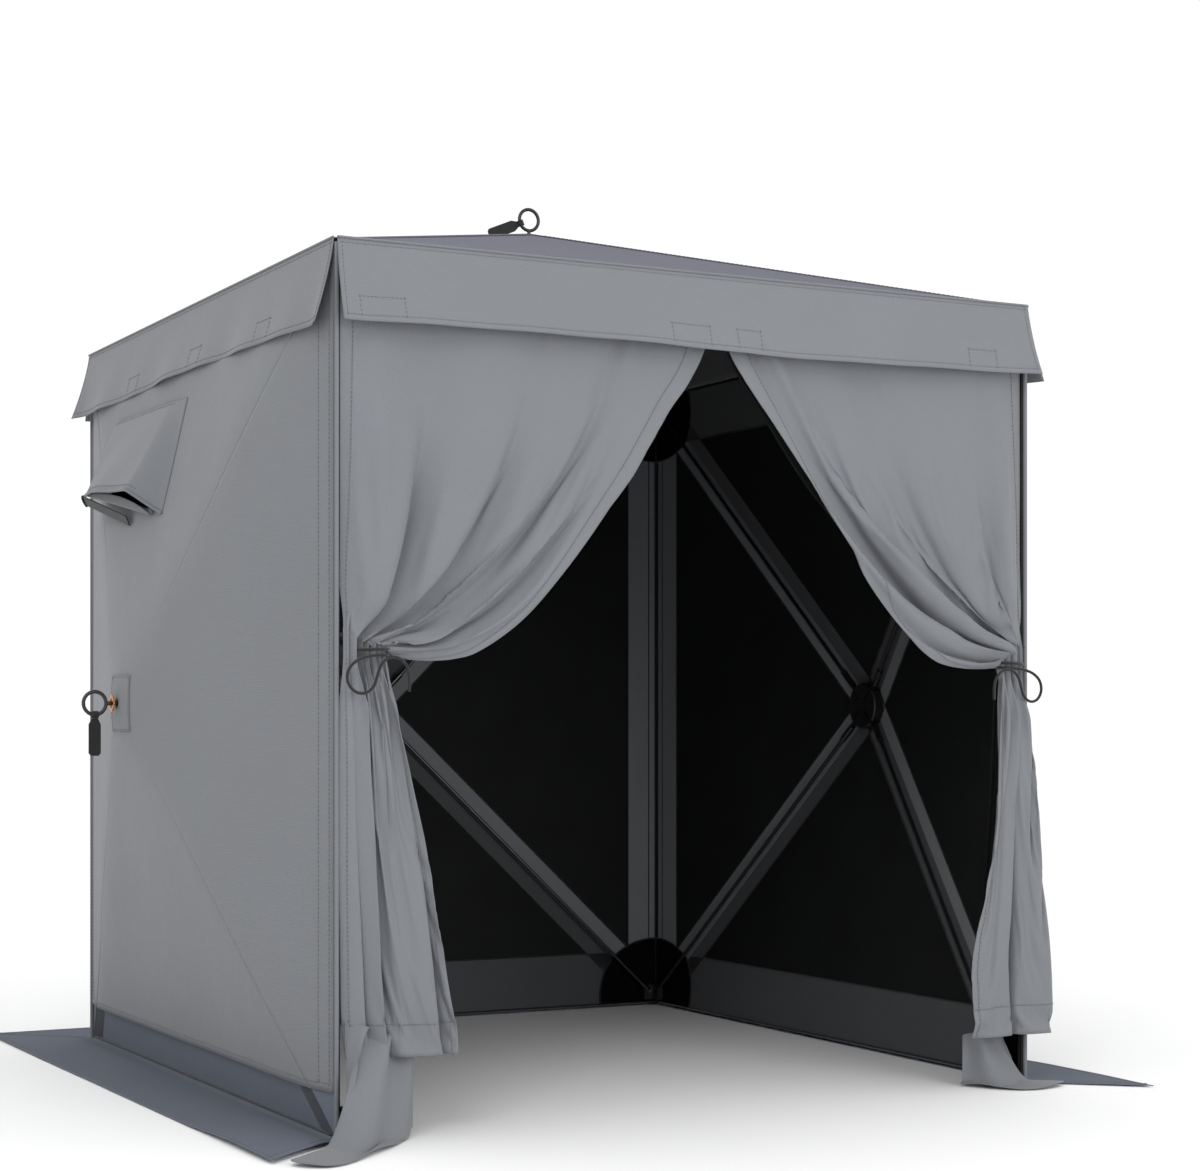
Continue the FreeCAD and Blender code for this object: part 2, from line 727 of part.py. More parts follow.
def valances():
    """Four flared flaps round the eaves, each with a return over the wall's top."""
    half = HALF_SIDE + VALANCE_STAND_OFF - VALANCE_CORNER_SLIT
    thick = VALANCE_THICKNESS
    out = HALF_SIDE + VALANCE_STAND_OFF
    top = EAVE_HEIGHT
    outline = [
        (out - VALANCE_RETURN, top - thick),
        (out - thick, top - thick),
        (out + VALANCE_FLARE - thick, top - VALANCE_DROP),
        (out + VALANCE_FLARE, top - VALANCE_DROP),
        (out, top),
        (out - VALANCE_RETURN, top),
    ]
    wire = Part.makePolygon([Vector(x, -half, z) for x, z in (*outline, outline[0])])
    flap = Part.Face(wire).extrude(Vector(0, 2 * half, 0))
    solids = []
    for turn in range(4):
        piece = flap.copy()
        piece.rotate(Vector(), Z_AXIS, 90 * turn)
        solids.append(piece)
    return Part.makeCompound(solids)


def corner_seams():
    """The bound edges that stand at the four corners."""
    place = HALF_SIDE + SEAM_STAND_OFF
    height = EAVE_HEIGHT - EAVE_HEM_DROP - FLAP_THICKNESS * 2
    solids = []
    for x_sign in SIGNS:
        for y_sign in SIGNS:
            base = Vector(x_sign * place, y_sign * place, FLAP_THICKNESS * 2)
            solids.append(Part.makeCylinder(SEAM_DIAMETER / 2, height, base))
    return Part.makeCompound(solids)


def ground_flaps():
    """Mitred flaps that lie on the ground outside the left, back and right walls."""
    inner = HALF_SIDE - FLAP_LAP
    outer = inner + FLAP_WIDTH
    gap = PANEL_CLEARANCE
    back = [
        (-inner, inner + gap),
        (inner, inner + gap),
        (outer, outer + gap),
        (-outer, outer + gap),
    ]
    side = [
        (-inner, -inner),
        (-inner, inner),
        (-outer, outer),
        (-outer, -outer + FLAP_FRONT_CUT),
        (-outer + FLAP_FRONT_CUT * 0.7, -outer + FLAP_FRONT_CUT * 0.8),
    ]
    solids = [prism(side, FLAP_THICKNESS), prism(back, FLAP_THICKNESS)]
    solids.append(solids[0].mirror(Vector(), X_AXIS))
    for solid in solids:
        solid.translate(Vector(0, 0, FLAP_THICKNESS / 2))
    return Part.makeCompound(solids)


# ---- front door ----


def curve(points):
    """A smooth edge through a few places."""
    spline = Part.BSplineCurve()
    spline.interpolate(points)
    return spline.toShape()


@dataclass(frozen=True)
class DoorHalf:
    """One half of the tied-back door: the tie's place, and how both layers hang from it.

    The inner edge is given in shares from the middle line to the tie and from the tie to
    the top. Sections are (outer, inner, depth, height) and a heap's places are (inset,
    forward), measured from the tent's corner in shares of the bundle's width and depth
    and of the tie's height.
    """

    side: int
    knot: Vector
    inner_edge: tuple
    curtain_sections: tuple
    curtain_back: float
    mesh_sections: tuple
    heap: tuple

    def edge_places(self):
        """The drawn edge as (x, z) places."""
        rise = DOOR_TOP - self.knot.z
        return [(self.knot.x * x, self.knot.z + rise * z) for x, z in self.inner_edge]

    def inset(self, share):
        """The x of a place that is a share of the bundle's width in from the corner."""
        return self.side * (HALF_SIDE - BUNDLE_WIDTH * share)

    def waist(self):
        """The least and greatest x of the cloth inside the tie."""
        inner = self.knot.x - self.side * WAIST_RADIUS
        outer = self.knot.x + self.side * WAIST_RADIUS * 0.9
        return sorted((inner, outer))

    def drape(self, top_outer, top_inner, edge, near, far):
        """The cloth above the tie, as a sheet between two depths."""
        waist_side = self.side * WAIST_RADIUS
        inner_x = self.knot.x - waist_side
        outer_x = self.knot.x + waist_side * 0.9
        high = self.knot.z + WAIST_RADIUS
        low = self.knot.z - WAIST_RADIUS
        corner = Vector(top_inner, near, DOOR_TOP)
        edge_points = [Vector(x, near, z) for x, z in edge]
        waist_inner = Vector(inner_x, near, high)
        outline = [
            waist_inner,
            Vector(inner_x, near, low),
            Vector(outer_x, near, low),
            Vector(outer_x, near, high),
            Vector(top_outer, near, self.knot.z + CURTAIN_SHOULDER_RISE),
            Vector(top_outer, near, DOOR_TOP),
            corner,
            edge_points[0],
        ]
        edges = [*Part.makePolygon(outline).Edges, curve([*edge_points, waist_inner])]
        return Part.Face(Part.Wire(edges)).extrude(Vector(0, far - near, 0))

    def curtain(self):
        """The privacy curtain: drape, waist and the bundle below the tie."""
        front = DOOR_FRONT - CURTAIN_THICKNESS
        sheet = self.drape(
            self.side * (HALF_SIDE - CURTAIN_EDGE_GAP), self.side * DOOR_CENTRE_GAP,
            self.edge_places(), front, DOOR_FRONT,
        )
        waist = self.waist()
        swell = DOOR_FRONT - WAIST_RADIUS
        levels = [
            block_section(*waist, front, DOOR_FRONT, self.knot.z + WAIST_RADIUS),
            block_section(*waist, swell, DOOR_FRONT, self.knot.z + WAIST_RADIUS / 2),
            block_section(*waist, swell, DOOR_FRONT, self.knot.z - WAIST_RADIUS),
        ]
        for outer, inner, depth, height in self.curtain_sections:
            ends = sorted((self.inset(outer), self.inset(inner)))
            nearest = DOOR_FRONT - BUNDLE_DEPTH * depth
            levels.append(
                block_section(*ends, nearest, self.curtain_back, self.knot.z * height)
            )
        return sheet.fuse(Part.makeLoft(levels, True, True)).removeSplitter()

    def mesh_door(self):
        """The mesh door behind the curtain, with its ground flap heaped on the ground."""
        back = DOOR_BACK + MESH_DOOR_THICKNESS
        edge = [
            (x + self.side * DOOR_EDGE_GAP, z + DOOR_EDGE_GAP) for x, z in self.edge_places()
        ]
        outer_top = self.side * (HALF_SIDE - 4 * DOOR_EDGE_GAP)
        sheet = self.drape(outer_top, edge[0][0], edge, DOOR_BACK, back)
        waist = self.waist()
        swell = DOOR_BACK + WAIST_RADIUS * 0.8
        levels = [
            block_section(*waist, DOOR_BACK, back, self.knot.z + WAIST_RADIUS),
            block_section(*waist, DOOR_BACK, swell, self.knot.z + WAIST_RADIUS / 2),
            block_section(*waist, DOOR_BACK, swell, self.knot.z - WAIST_RADIUS),
        ]
        for outer, inner, depth, height in self.mesh_sections:
            ends = sorted((self.inset(outer), self.inset(inner)))
            farthest = DOOR_BACK + MESH_BUNDLE_DEPTH * depth
            levels.append(block_section(*ends, DOOR_BACK, farthest, self.knot.z * height))
        bundle = Part.makeLoft(levels, True, True)
        return sheet.fuse([bundle, self.heaped_flap()]).removeSplitter()

    def heaped_flap(self):
        """A low heap of cloth: a ground outline drawn in and up to a smaller one."""
        outline = [
            Vector(self.inset(across), -HALF_SIDE - BUNDLE_WIDTH * forward, 0)
            for across, forward in self.heap
        ]
        centre = (outline[0] + outline[-1]) * 0.5
        levels = []
        for share, height in ((1.0, 0.0), (0.97, MOUND_HEIGHT / 4), (0.5, MOUND_HEIGHT)):
            points = [centre + (place - centre) * share for place in outline]
            ring = Part.makePolygon([*points, points[0]])
            ring.translate(Vector(0, 0, height))
            levels.append(ring)
        return Part.makeLoft(levels, True, True)


def block_section(left, right, front, back, height):
    """A level outline with its corners cut, for a gathered bundle of cloth."""
    cut = 0.2 * min(right - left, back - front)
    points = [
        (left + cut, front), (right - cut, front), (right, front + cut),
        (right, back - cut), (right - cut, back), (left + cut, back),
        (left, back - cut), (left, front + cut),
    ]
    return Part.makePolygon([Vector(x, y, height) for x, y in (*points, points[0])])


LEFT_DOOR = DoorHalf(
    side=-1,
    knot=LEFT_KNOT,
    inner_edge=((0.006, 0.807), (0.247, 0.468), (0.498, 0.195), (0.662, 0.067), (0.827, 0.032)),
    curtain_sections=(
        (0.106, 0.650, 0.71, 0.757),
        (0.130, 0.846, 0.87, 0.546),
        (0.157, 0.988, 0.97, 0.276),
        (0.169, 1.000, 1.00, 0.161),
    ),
    curtain_back=DOOR_FRONT,
    mesh_sections=(
        (0.209, 0.642, 0.84, 0.757),
        (0.209, 0.799, 0.94, 0.546),
        (0.209, 0.925, 1.00, 0.276),
        (0.209, 0.886, 1.00, 0.0),
    ),
    heap=(
        (0.209, -0.185), (0.059, 0.138), (-0.689, 0.839), (-0.413, 1.035), (0.453, 0.492),
        (0.886, -0.185),
    ),
)

# The right bundle spills out in front of the corner seam.
RIGHT_DOOR = DoorHalf(
    side=1,
    knot=RIGHT_KNOT,
    inner_edge=((0.050, 0.806), (0.300, 0.458), (0.465, 0.288), (0.651, 0.073), (0.824, 0.039)),
    curtain_sections=(
        (0.039, 0.335, 0.61, 0.860),
        (-0.185, 0.433, 0.74, 0.755),
        (-0.272, 0.669, 0.90, 0.459),
        (-0.335, 0.839, 1.00, 0.287),
        (-0.335, 0.799, 1.00, 0.115),
    ),
    curtain_back=-HALF_SIDE - SEAM_STAND_OFF - SEAM_DIAMETER / 2 - LAYER_GAP,
    mesh_sections=(
        (0.193, 0.374, 0.77, 0.765),
        (0.200, 0.602, 0.90, 0.459),
        (0.209, 0.768, 1.00, 0.287),
        (0.209, 0.728, 1.00, 0.0),
    ),
    heap=(
        (0.728, -0.185), (0.571, 0.276), (0.217, 0.453), (-0.236, 0.374), (0.059, 0.118),
        (0.236, -0.185),
    ),
)


# ---- tie cords ----


# The bow from the front of the wrap: outward, forward and up, in shares of BOW_DROP.
BOW_ROUTE = [
    (0.29, 0.04, -0.05), (0.57, 0.07, -0.14), (0.81, 0.10, -0.36), (0.86, 0.11, -0.68),
    (0.67, 0.13, -0.95), (0.36, 0.15, -1.00), (0.12, 0.17, -0.81), (0.04, 0.17, -0.50),
    (-0.07, 0.17, -0.21), (-0.31, 0.15, -0.04), (-0.62, 0.13, -0.07), (-0.83, 0.11, -0.31),
    (-0.89, 0.10, -0.62), (-0.87, 0.08, -0.93),
]


def cord_route(door):
    """From the corner seam round the waist, then a bow loop and its hanging tail."""
    side = door.side
    anchor_x = side * (HALF_SIDE - LAYER_GAP)
    anchor_y = -HALF_SIDE - SEAM_STAND_OFF - SEAM_DIAMETER / 2
    route = [Vector(anchor_x, anchor_y, CORD_CORNER_HEIGHT)]
    for step in range(CORD_WRAP_STEPS + 1):
        turned = CORD_WRAP_START_DEG + step * CORD_WRAP_STEP_DEG
        angle = math.radians(turned)
        sink = CORD_WRAP_PITCH * ((turned - CORD_WRAP_START_DEG) / 360 - 0.5)
        across = side * CORD_WRAP_RADIUS * math.cos(angle)
        route.append(door.knot + Vector(across, CORD_WRAP_RADIUS * math.sin(angle), -sink))
    front = route[-1]
    for outward, forward, up in BOW_ROUTE:
        route.append(front + Vector(side * outward, -forward, up) * BOW_DROP)
    return route


def cord_tube(name, route):
    """A round tube along straight runs joined by tangent arcs."""
    edges = []
    radii = []
    start = route[0]
    length = 0.0
    for before, corner, after in zip(route, route[1:], route[2:]):
        into = corner - before
        out = after - corner
        short = min(into.Length, out.Length)
        into.normalize()
        out.normalize()
        turn = math.acos(max(-1.0, min(1.0, into.dot(out))))
        back = 0.45 * short
        radius = back / math.tan(turn / 2)
        radii.append(radius)
        first = corner - into * back
        last = corner + out * back
        towards = out - into
        towards.normalize()
        centre = corner + towards * (radius / math.cos(turn / 2))
        middle = centre - towards * radius
        edges.append(Part.LineSegment(start, first).toShape())
        edges.append(Part.Arc(first, middle, last).toShape())
        length += (first - start).Length + radius * turn
        start = last
    edges.append(Part.LineSegment(start, route[-1]).toShape())
    length += (route[-1] - start).Length
    profile = Part.Wire(Part.Circle(route[0], route[1] - route[0], CORD_DIAMETER / 2).toShape())
    tube = Part.Wire(edges).makePipe(Part.Face(profile))
    wanted = math.pi * (CORD_DIAMETER / 2) ** 2 * length
    print(f"{name}: length {length:.0f} mm, smallest radius {min(radii):.1f} mm,"
          f" volume {tube.Volume:.0f} of {wanted:.0f}, radii {[round(r) for r in radii]}")
    return tube


def build():
    """Every sub-part by node name."""
    parts = {}
    for panel in PANELS:
        parts[f"hub_{panel.name}"] = hub(panel)
        parts[f"pull_ring_{panel.name}"] = pull_ring(panel)
        parts[f"strap_{panel.name}"] = strap(panel)
        for side in SIGNS:
            for level in SIGNS:
                names = (name_at(panel.level_names, level), name_at(panel.side_names, side))
                parts[f"pole_{panel.name}_{'_'.join(names)}"] = pole(panel, side, level)
        parts.update(panel_screens(panel))
    for panel in WALLS:
        parts[f"cover_{panel.name}"] = cover(panel)
    parts["vent_hood"] = vent_hood()
    parts["hood_stay"] = hood_stay()
    parts["lower_corner_sockets"] = corner_sockets(-1)
    parts["upper_corner_sockets"] = corner_sockets(1)
    parts["corner_seams"] = corner_seams()
    parts["valances"] = valances()
    parts["ground_flaps"] = ground_flaps()
    for name, door in (("left", LEFT_DOOR), ("right", RIGHT_DOOR)):
        parts[f"curtain_{name}"] = door.curtain()
        parts[f"mesh_door_{name}"] = door.mesh_door()
        parts[f"tie_cord_{name}"] = cord_tube(f"tie_cord_{name}", cord_route(door))
    return parts


if __name__ == "__main__":
    os.makedirs("parts", exist_ok=True)
    for node, shape in build().items():
        solids = shape.Solids
        print(f"{node}: {len(solids)} solids, valid {shape.isValid()}, {shape.Volume / 1000:.1f} cm3")
        export(node, shape)
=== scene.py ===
"""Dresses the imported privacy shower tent: cloth, netting, seams, cords, hardware and studio."""

import logging
import math
from collections.abc import Iterable, Sequence
from dataclasses import dataclass, field
from enum import Enum

import bpy
import numpy as np
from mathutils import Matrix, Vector, noise


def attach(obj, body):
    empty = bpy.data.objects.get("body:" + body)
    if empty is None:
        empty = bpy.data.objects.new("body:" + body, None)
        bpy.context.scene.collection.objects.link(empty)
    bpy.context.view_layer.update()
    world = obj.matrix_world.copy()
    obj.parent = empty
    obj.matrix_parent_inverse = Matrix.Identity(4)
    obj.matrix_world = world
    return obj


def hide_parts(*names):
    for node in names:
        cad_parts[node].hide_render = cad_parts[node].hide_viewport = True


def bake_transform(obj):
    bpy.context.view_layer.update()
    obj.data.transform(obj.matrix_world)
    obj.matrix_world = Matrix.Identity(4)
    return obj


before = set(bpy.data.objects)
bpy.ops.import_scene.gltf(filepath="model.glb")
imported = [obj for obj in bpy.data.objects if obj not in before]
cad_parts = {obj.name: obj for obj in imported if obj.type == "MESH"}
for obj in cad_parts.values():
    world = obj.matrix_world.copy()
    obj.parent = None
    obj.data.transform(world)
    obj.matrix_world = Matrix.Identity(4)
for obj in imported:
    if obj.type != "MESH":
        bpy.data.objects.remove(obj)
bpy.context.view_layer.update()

log = logging.getLogger("shower_tent")

# ---- the tent's sizes, in metres ----
HALF_SIDE = 0.915
HINGE_HALF = 0.907
EAVE = 1.935
HUB_HEIGHT = 0.945
WALL_RISE = 0.200
ROOF_RISE = 0.260
GROUND_HEM = 0.012
WALL_TOP = 1.925
ROOF_PLANE = 1.937

Point = tuple[float, float, float]
Pair = tuple[float, float]


# ---------------------------------------------------------------- nodes and finishes


def linear(hex_colour: str) -> tuple[float, float, float, float]:
    """Turns an sRGB hex colour into Blender's linear colour.

    Args:
        hex_colour: Six hex digits after a hash.

    Returns:
        Red, green, blue and an alpha of 1.
    """
    channels = [int(hex_colour[i:i + 2], 16) / 255 for i in (1, 3, 5)]
    curved = [c / 12.92 if c <= 0.04045 else ((c + 0.055) / 1.055) ** 2.4 for c in channels]
    return (curved[0], curved[1], curved[2], 1.0)


def add_node(tree: bpy.types.NodeTree, kind: str, inputs: dict | None = None,
             **settings) -> bpy.types.Node:
    """Adds one node with its settings, values and links.

    Args:
        tree: The tree that gets the node.
        kind: Blender's name for the node type.
        inputs: Socket name or number to a value, or to the socket that feeds it.
        **settings: Attributes of the node.

    Returns:
        The new node.
    """
    node = tree.nodes.new(kind)
    for name, value in settings.items():
        setattr(node, name, value)
    for key, value in (inputs or {}).items():
        if isinstance(value, bpy.types.NodeSocket):
            tree.links.new(value, node.inputs[key])
        else:
            node.inputs[key].default_value = value
    return node


def waves_per(pitch_mm: float) -> float:
    """The wave texture's scale that repeats its bands once in every pitch."""
    return 2 * math.pi * 1000.0 / (20.0 * pitch_mm)


def new_tree(name: str) -> tuple[bpy.types.Material, bpy.types.NodeTree]:
    """Starts an empty material.

    Args:
        name: The material's name.

    Returns:
        The material and its cleared node tree.
    """
    made = bpy.data.materials.new(name)
    made.use_nodes = True
    made.node_tree.nodes.clear()
    return made, made.node_tree


def dimmed(tree: bpy.types.NodeTree, colour: bpy.types.NodeSocket | Sequence[float],
           share: bpy.types.NodeSocket) -> bpy.types.NodeSocket:
    """Multiplies a colour by a brightness that differs from place to place.

    Args:
        tree: The material's tree.
        colour: The colour, or the socket that gives it.
        share: The socket that gives the brightness.

    Returns:
        The product's socket.
    """
    product = add_node(tree, "ShaderNodeMix", {0: 1.0, 6: colour, 7: share},
                       data_type="RGBA", blend_type="MULTIPLY")
    return product.outputs[2]


def add_shader(tree: bpy.types.NodeTree, inputs: dict) -> None:
    """Ends a material with its shader.

    Args:
        tree: The material's tree.
        inputs: The shader's values and links.
    """
    shader = add_node(tree, "ShaderNodeBsdfPrincipled", inputs)
    add_node(tree, "ShaderNodeOutputMaterial", {"Surface": shader.outputs[0]})


@dataclass(frozen=True)
class WovenCloth:
    """Woven polyester with a thin coating: a soft sheen, fine threads, faint handling creases."""

    name: str
    face: str
    shade: str
    thread_mm: float = 3.6
    roughness: float = 0.72
    sheen: float = 0.15
    gloss: float = 0.2
    relief: float = 0.35
    crease: float = 0.25

    def material(self) -> bpy.types.Material:
        """Builds the cloth: crossed threads, slow colour drift and soft creases."""
        made, tree = new_tree(self.name)
        place = add_node(tree, "ShaderNodeTexCoord").outputs["UV"]
        # Real threads are 0.5 mm apart; they are drawn coarser so that the render can show them.
        warp, weft = (add_node(tree, "ShaderNodeTexWave", {
            "Vector": place, "Scale": waves_per(self.thread_mm), "Distortion": 0.6,
            "Detail": 1.0, "Detail Scale": 2.0}, bands_direction=way) for way in ("X", "Y"))
        threads = add_node(tree, "ShaderNodeMath", {
            0: warp.outputs["Fac"], 1: weft.outputs["Fac"]}, operation="ADD")
        drift = add_node(tree, "ShaderNodeTexNoise", {
            "Vector": place, "Scale": 3.2, "Detail": 5.0, "Roughness": 0.6})
        tone = add_node(tree, "ShaderNodeMix", {
            0: drift.outputs["Fac"], 6: linear(self.face), 7: linear(self.shade)},
            data_type="RGBA")
        fleck = add_node(tree, "ShaderNodeMapRange", {
            "Value": threads.outputs[0], "From Min": 0.0, "From Max": 2.0,
            "To Min": 0.93, "To Max": 1.05})
        folds = add_node(tree, "ShaderNodeTexNoise", {
            "Vector": place, "Scale": 14.0, "Detail": 4.0, "Roughness": 0.55, "Distortion": 0.6})
        soft = add_node(tree, "ShaderNodeBump", {
            "Strength": self.crease, "Distance": 0.006, "Height": folds.outputs["Fac"]})
        fine = add_node(tree, "ShaderNodeBump", {
            "Strength": self.relief, "Distance": 0.0006, "Height": threads.outputs[0],
            "Normal": soft.outputs[0]})
        add_shader(tree, {
            "Base Color": dimmed(tree, tone.outputs[2], fleck.outputs[0]),
            "Roughness": self.roughness, "Sheen Weight": self.sheen, "Sheen Roughness": 0.5,
            "Normal": fine.outputs[0], "Specular IOR Level": self.gloss})
        return made


@dataclass(frozen=True)
class Netting:
    """Black insect netting: open hexagons that pass a little of what is behind them."""

    name: str
    thread: str
    hole_mm: float = 4.0
    cover: float = 0.9

    def material(self) -> bpy.types.Material:
        """Builds the netting: cells that are nearly closed when seen from a distance."""
        made, tree = new_tree(self.name)
        place = add_node(tree, "ShaderNodeTexCoord").outputs["UV"]
        # Real holes are 1 mm across; they are drawn at 4 mm so that the cells read at all.
        cells = add_node(tree, "ShaderNodeTexVoronoi", {
            "Vector": place, "Scale": 1000.0 / self.hole_mm, "Randomness": 0.1},
            feature="DISTANCE_TO_EDGE")
        wall = add_node(tree, "ShaderNodeMapRange", {
            "Value": cells.outputs["Distance"], "From Min": 0.1, "From Max": 0.3,
            "To Min": 1.0, "To Max": self.cover})
        bump = add_node(tree, "ShaderNodeBump", {
            "Strength": 0.5, "Distance": 0.0005, "Height": cells.outputs["Distance"]})
        drift = add_node(tree, "ShaderNodeTexNoise", {"Vector": place, "Scale": 5.0, "Detail": 3.0})
        tone = add_node(tree, "ShaderNodeMapRange", {
            "Value": drift.outputs["Fac"], "To Min": 0.7, "To Max": 1.4})
        add_shader(tree, {
            "Base Color": dimmed(tree, linear(self.thread), tone.outputs[0]), "Roughness": 0.8,
            "Alpha": wall.outputs[0], "Normal": bump.outputs[0], "Specular IOR Level": 0.15})
        return made


@dataclass(frozen=True)
class Ribbed:
    """Woven tape, webbing or braid: ribs across its run and a dull thread sheen."""

    name: str
    face: str
    rib_mm: float
    roughness: float = 0.62

    def material(self) -> bpy.types.Material:
        """Builds the tape: regular ribs over a slow drift of tone."""
        made, tree = new_tree(self.name)
        place = add_node(tree, "ShaderNodeTexCoord").outputs["Object"]
        ribs = add_node(tree, "ShaderNodeTexWave", {
            "Vector": place, "Scale": waves_per(self.rib_mm), "Distortion": 0.3},
            bands_direction="DIAGONAL")
        grain = add_node(tree, "ShaderNodeTexNoise", {
            "Vector": place, "Scale": 90.0, "Detail": 2.0})
        tone = add_node(tree, "ShaderNodeMapRange", {
            "Value": grain.outputs["Fac"], "To Min": 0.75, "To Max": 1.3})
        bump = add_node(tree, "ShaderNodeBump", {
            "Strength": 0.6, "Distance": 0.0008, "Height": ribs.outputs["Fac"]})
        add_shader(tree, {
            "Base Color": dimmed(tree, linear(self.face), tone.outputs[0]),
            "Roughness": self.roughness, "Sheen Weight": 0.2, "Normal": bump.outputs[0],
            "Specular IOR Level": 0.3})
        return made


@dataclass(frozen=True)
class Moulded:
    """A hard part: moulded plastic, painted metal, plated brass or wrapped fibreglass."""

    name: str
    face: str
    roughness: float
    metallic: float = 0.0
    grain_mm: float = 1.2
    relief: float = 0.2
    coat: float = 0.0

    def material(self) -> bpy.types.Material:
        """Builds the part: a fine spark-eroded grain and rubbed patches that are glossier."""
        made, tree = new_tree(self.name)
        place = add_node(tree, "ShaderNodeTexCoord").outputs["Object"]
        grain = add_node(tree, "ShaderNodeTexNoise", {
            "Vector": place, "Scale": 1000.0 / self.grain_mm, "Detail": 2.0})
        rubbed = add_node(tree, "ShaderNodeTexNoise", {
            "Vector": place, "Scale": 22.0, "Detail": 3.0})
        gloss = add_node(tree, "ShaderNodeMapRange", {
            "Value": rubbed.outputs["Fac"], "From Min": 0.3, "From Max": 0.7,
            "To Min": self.roughness * 0.8, "To Max": min(1.0, self.roughness * 1.2)})
        tone = add_node(tree, "ShaderNodeMapRange", {
            "Value": rubbed.outputs["Fac"], "To Min": 0.85, "To Max": 1.2})
        bump = add_node(tree, "ShaderNodeBump", {
            "Strength": self.relief, "Distance": 0.0003, "Height": grain.outputs["Fac"]})
        add_shader(tree, {
            "Base Color": dimmed(tree, linear(self.face), tone.outputs[0]),
            "Roughness": gloss.outputs[0], "Metallic": self.metallic,
            "Coat Weight": self.coat, "Normal": bump.outputs[0]})
        return made


class Finish(Enum):
    """Every finish on the tent."""

    # 210D polyester Oxford, coated behind: mid grey and dull, with a slight bloom at grazing light
    COVER = WovenCloth("polyester_oxford_grey", "#6D6F73", "#727579")
    # the same cloth on the roof; its slightly bluer colour is painted light, for how the roof looks
    # at a grazing angle in the studio light
    ROOF = WovenCloth("polyester_oxford_slate_painted_light", "#6D6E78", "#71727C", roughness=0.95,
                       sheen=0.0, gloss=0.04)
    # heavier wear-resistant Oxford of the ground flaps and the lower band
    FLAP = WovenCloth("polyester_oxford_ground_flap", "#5F646F", "#666B76", thread_mm=3.8,
                       roughness=0.9, sheen=0.02, gloss=0.08)
    # the soft curtain cloth, with no coating, so it drapes and shows no stiff creases
    CURTAIN = WovenCloth("polyester_taffeta_curtain", "#6D6F74", "#717478", crease=0.08)
    # dark backing of the bands and pole sleeves inside
    SLEEVE = WovenCloth("polyester_sleeve_dark", "#3F4043", "#47494C", thread_mm=3.4)
    # stiffened dark webbing of the strip that props the vent hood
    PROP = WovenCloth("stiffened_webbing_dark_grey", "#2C2D2F", "#323335", thread_mm=2.5)
    # black reinforcement cloth of the corner pockets
    POCKET = WovenCloth("ripstop_pocket_black", "#070708", "#0A0A0B", thread_mm=5.0, roughness=0.9,
                          sheen=0.0, gloss=0.04)
    NETTING = Netting("polyester_netting_black", "#161718", cover=0.98)
    BINDING = Ribbed("grosgrain_binding_black", "#0D0D0E", 3.0)
    WEBBING = Ribbed("nylon_webbing_black", "#131315", 2.5)
    CORD = Ribbed("braided_cord_black", "#141416", 3.0)
    STITCH = Ribbed("bonded_thread_grey", "#5F6166", 1.0)
    HOOK_TAPE = WovenCloth("hook_tape_grey", "#74767B", "#6E7176", thread_mm=3.0, relief=0.8)
    POLE = Moulded("fibreglass_pole_black", "#101113", 0.35, coat=0.3)
    HUB = Moulded("glass_filled_nylon_black", "#0F1011", 0.5, grain_mm=1.5, relief=0.4)
    RING = Moulded("powder_coated_steel_black", "#131415", 0.38, grain_mm=1.0, relief=0.3)
    GROMMET = Moulded("copper_plated_brass", "#B87333", 0.28, metallic=1.0)

    def get(self) -> bpy.types.Material:
        """The finish's material, built the first time that it is asked for."""
        found = bpy.data.materials.get(self.value.name)
        return found or self.value.material()


# ---------------------------------------------------------------- mesh tools


def smooth_step(low: float, high: float, value: np.ndarray | float) -> np.ndarray | float:
    """Eases from 0 at low to 1 at high."""
    share = np.clip((value - low) / (high - low), 0.0, 1.0)
    return share * share * (3 - 2 * share)


def noise_over(flat: np.ndarray, scale: Pair, seed: float) -> np.ndarray:
    """Slow unevenness over a flat net, between about -1 and 1.

    Args:
        flat: Places on the net.
        scale: How fast it changes along each of the net's two axes.
        seed: Which pattern.

    Returns:
        One value for each place.
    """
    values = [noise.noise(Vector((a * scale[0], b * scale[1], seed)))
              for a, b in flat.reshape(-1, 2)]
    return np.array(values).reshape(flat.shape[:-1])


def grid_quads(rows: int, columns: int) -> np.ndarray:
    """Vertex numbers of the quads of a rectangular net, four to a row."""
    index = np.arange(rows * columns).reshape(rows, columns)
    corners = [index[:-1, :-1], index[:-1, 1:], index[1:, 1:], index[1:, :-1]]
    return np.stack(corners, axis=-1).reshape(-1, 4)


def run_lengths(line: np.ndarray) -> np.ndarray:
    """How far along a line each of its points lies."""
    return np.concatenate([[0], np.cumsum(np.linalg.norm(np.diff(line, axis=0), axis=1))])


def put(name: str, data: bpy.types.ID) -> bpy.types.Object:
    """Adds an object to the scene.

    Args:
        name: Its name.
        data: Its mesh, curve, lamp or camera.

    Returns:
        The object, at the origin.
    """
    piece = bpy.data.objects.new(name, data)
    bpy.context.scene.collection.objects.link(piece)
    return piece


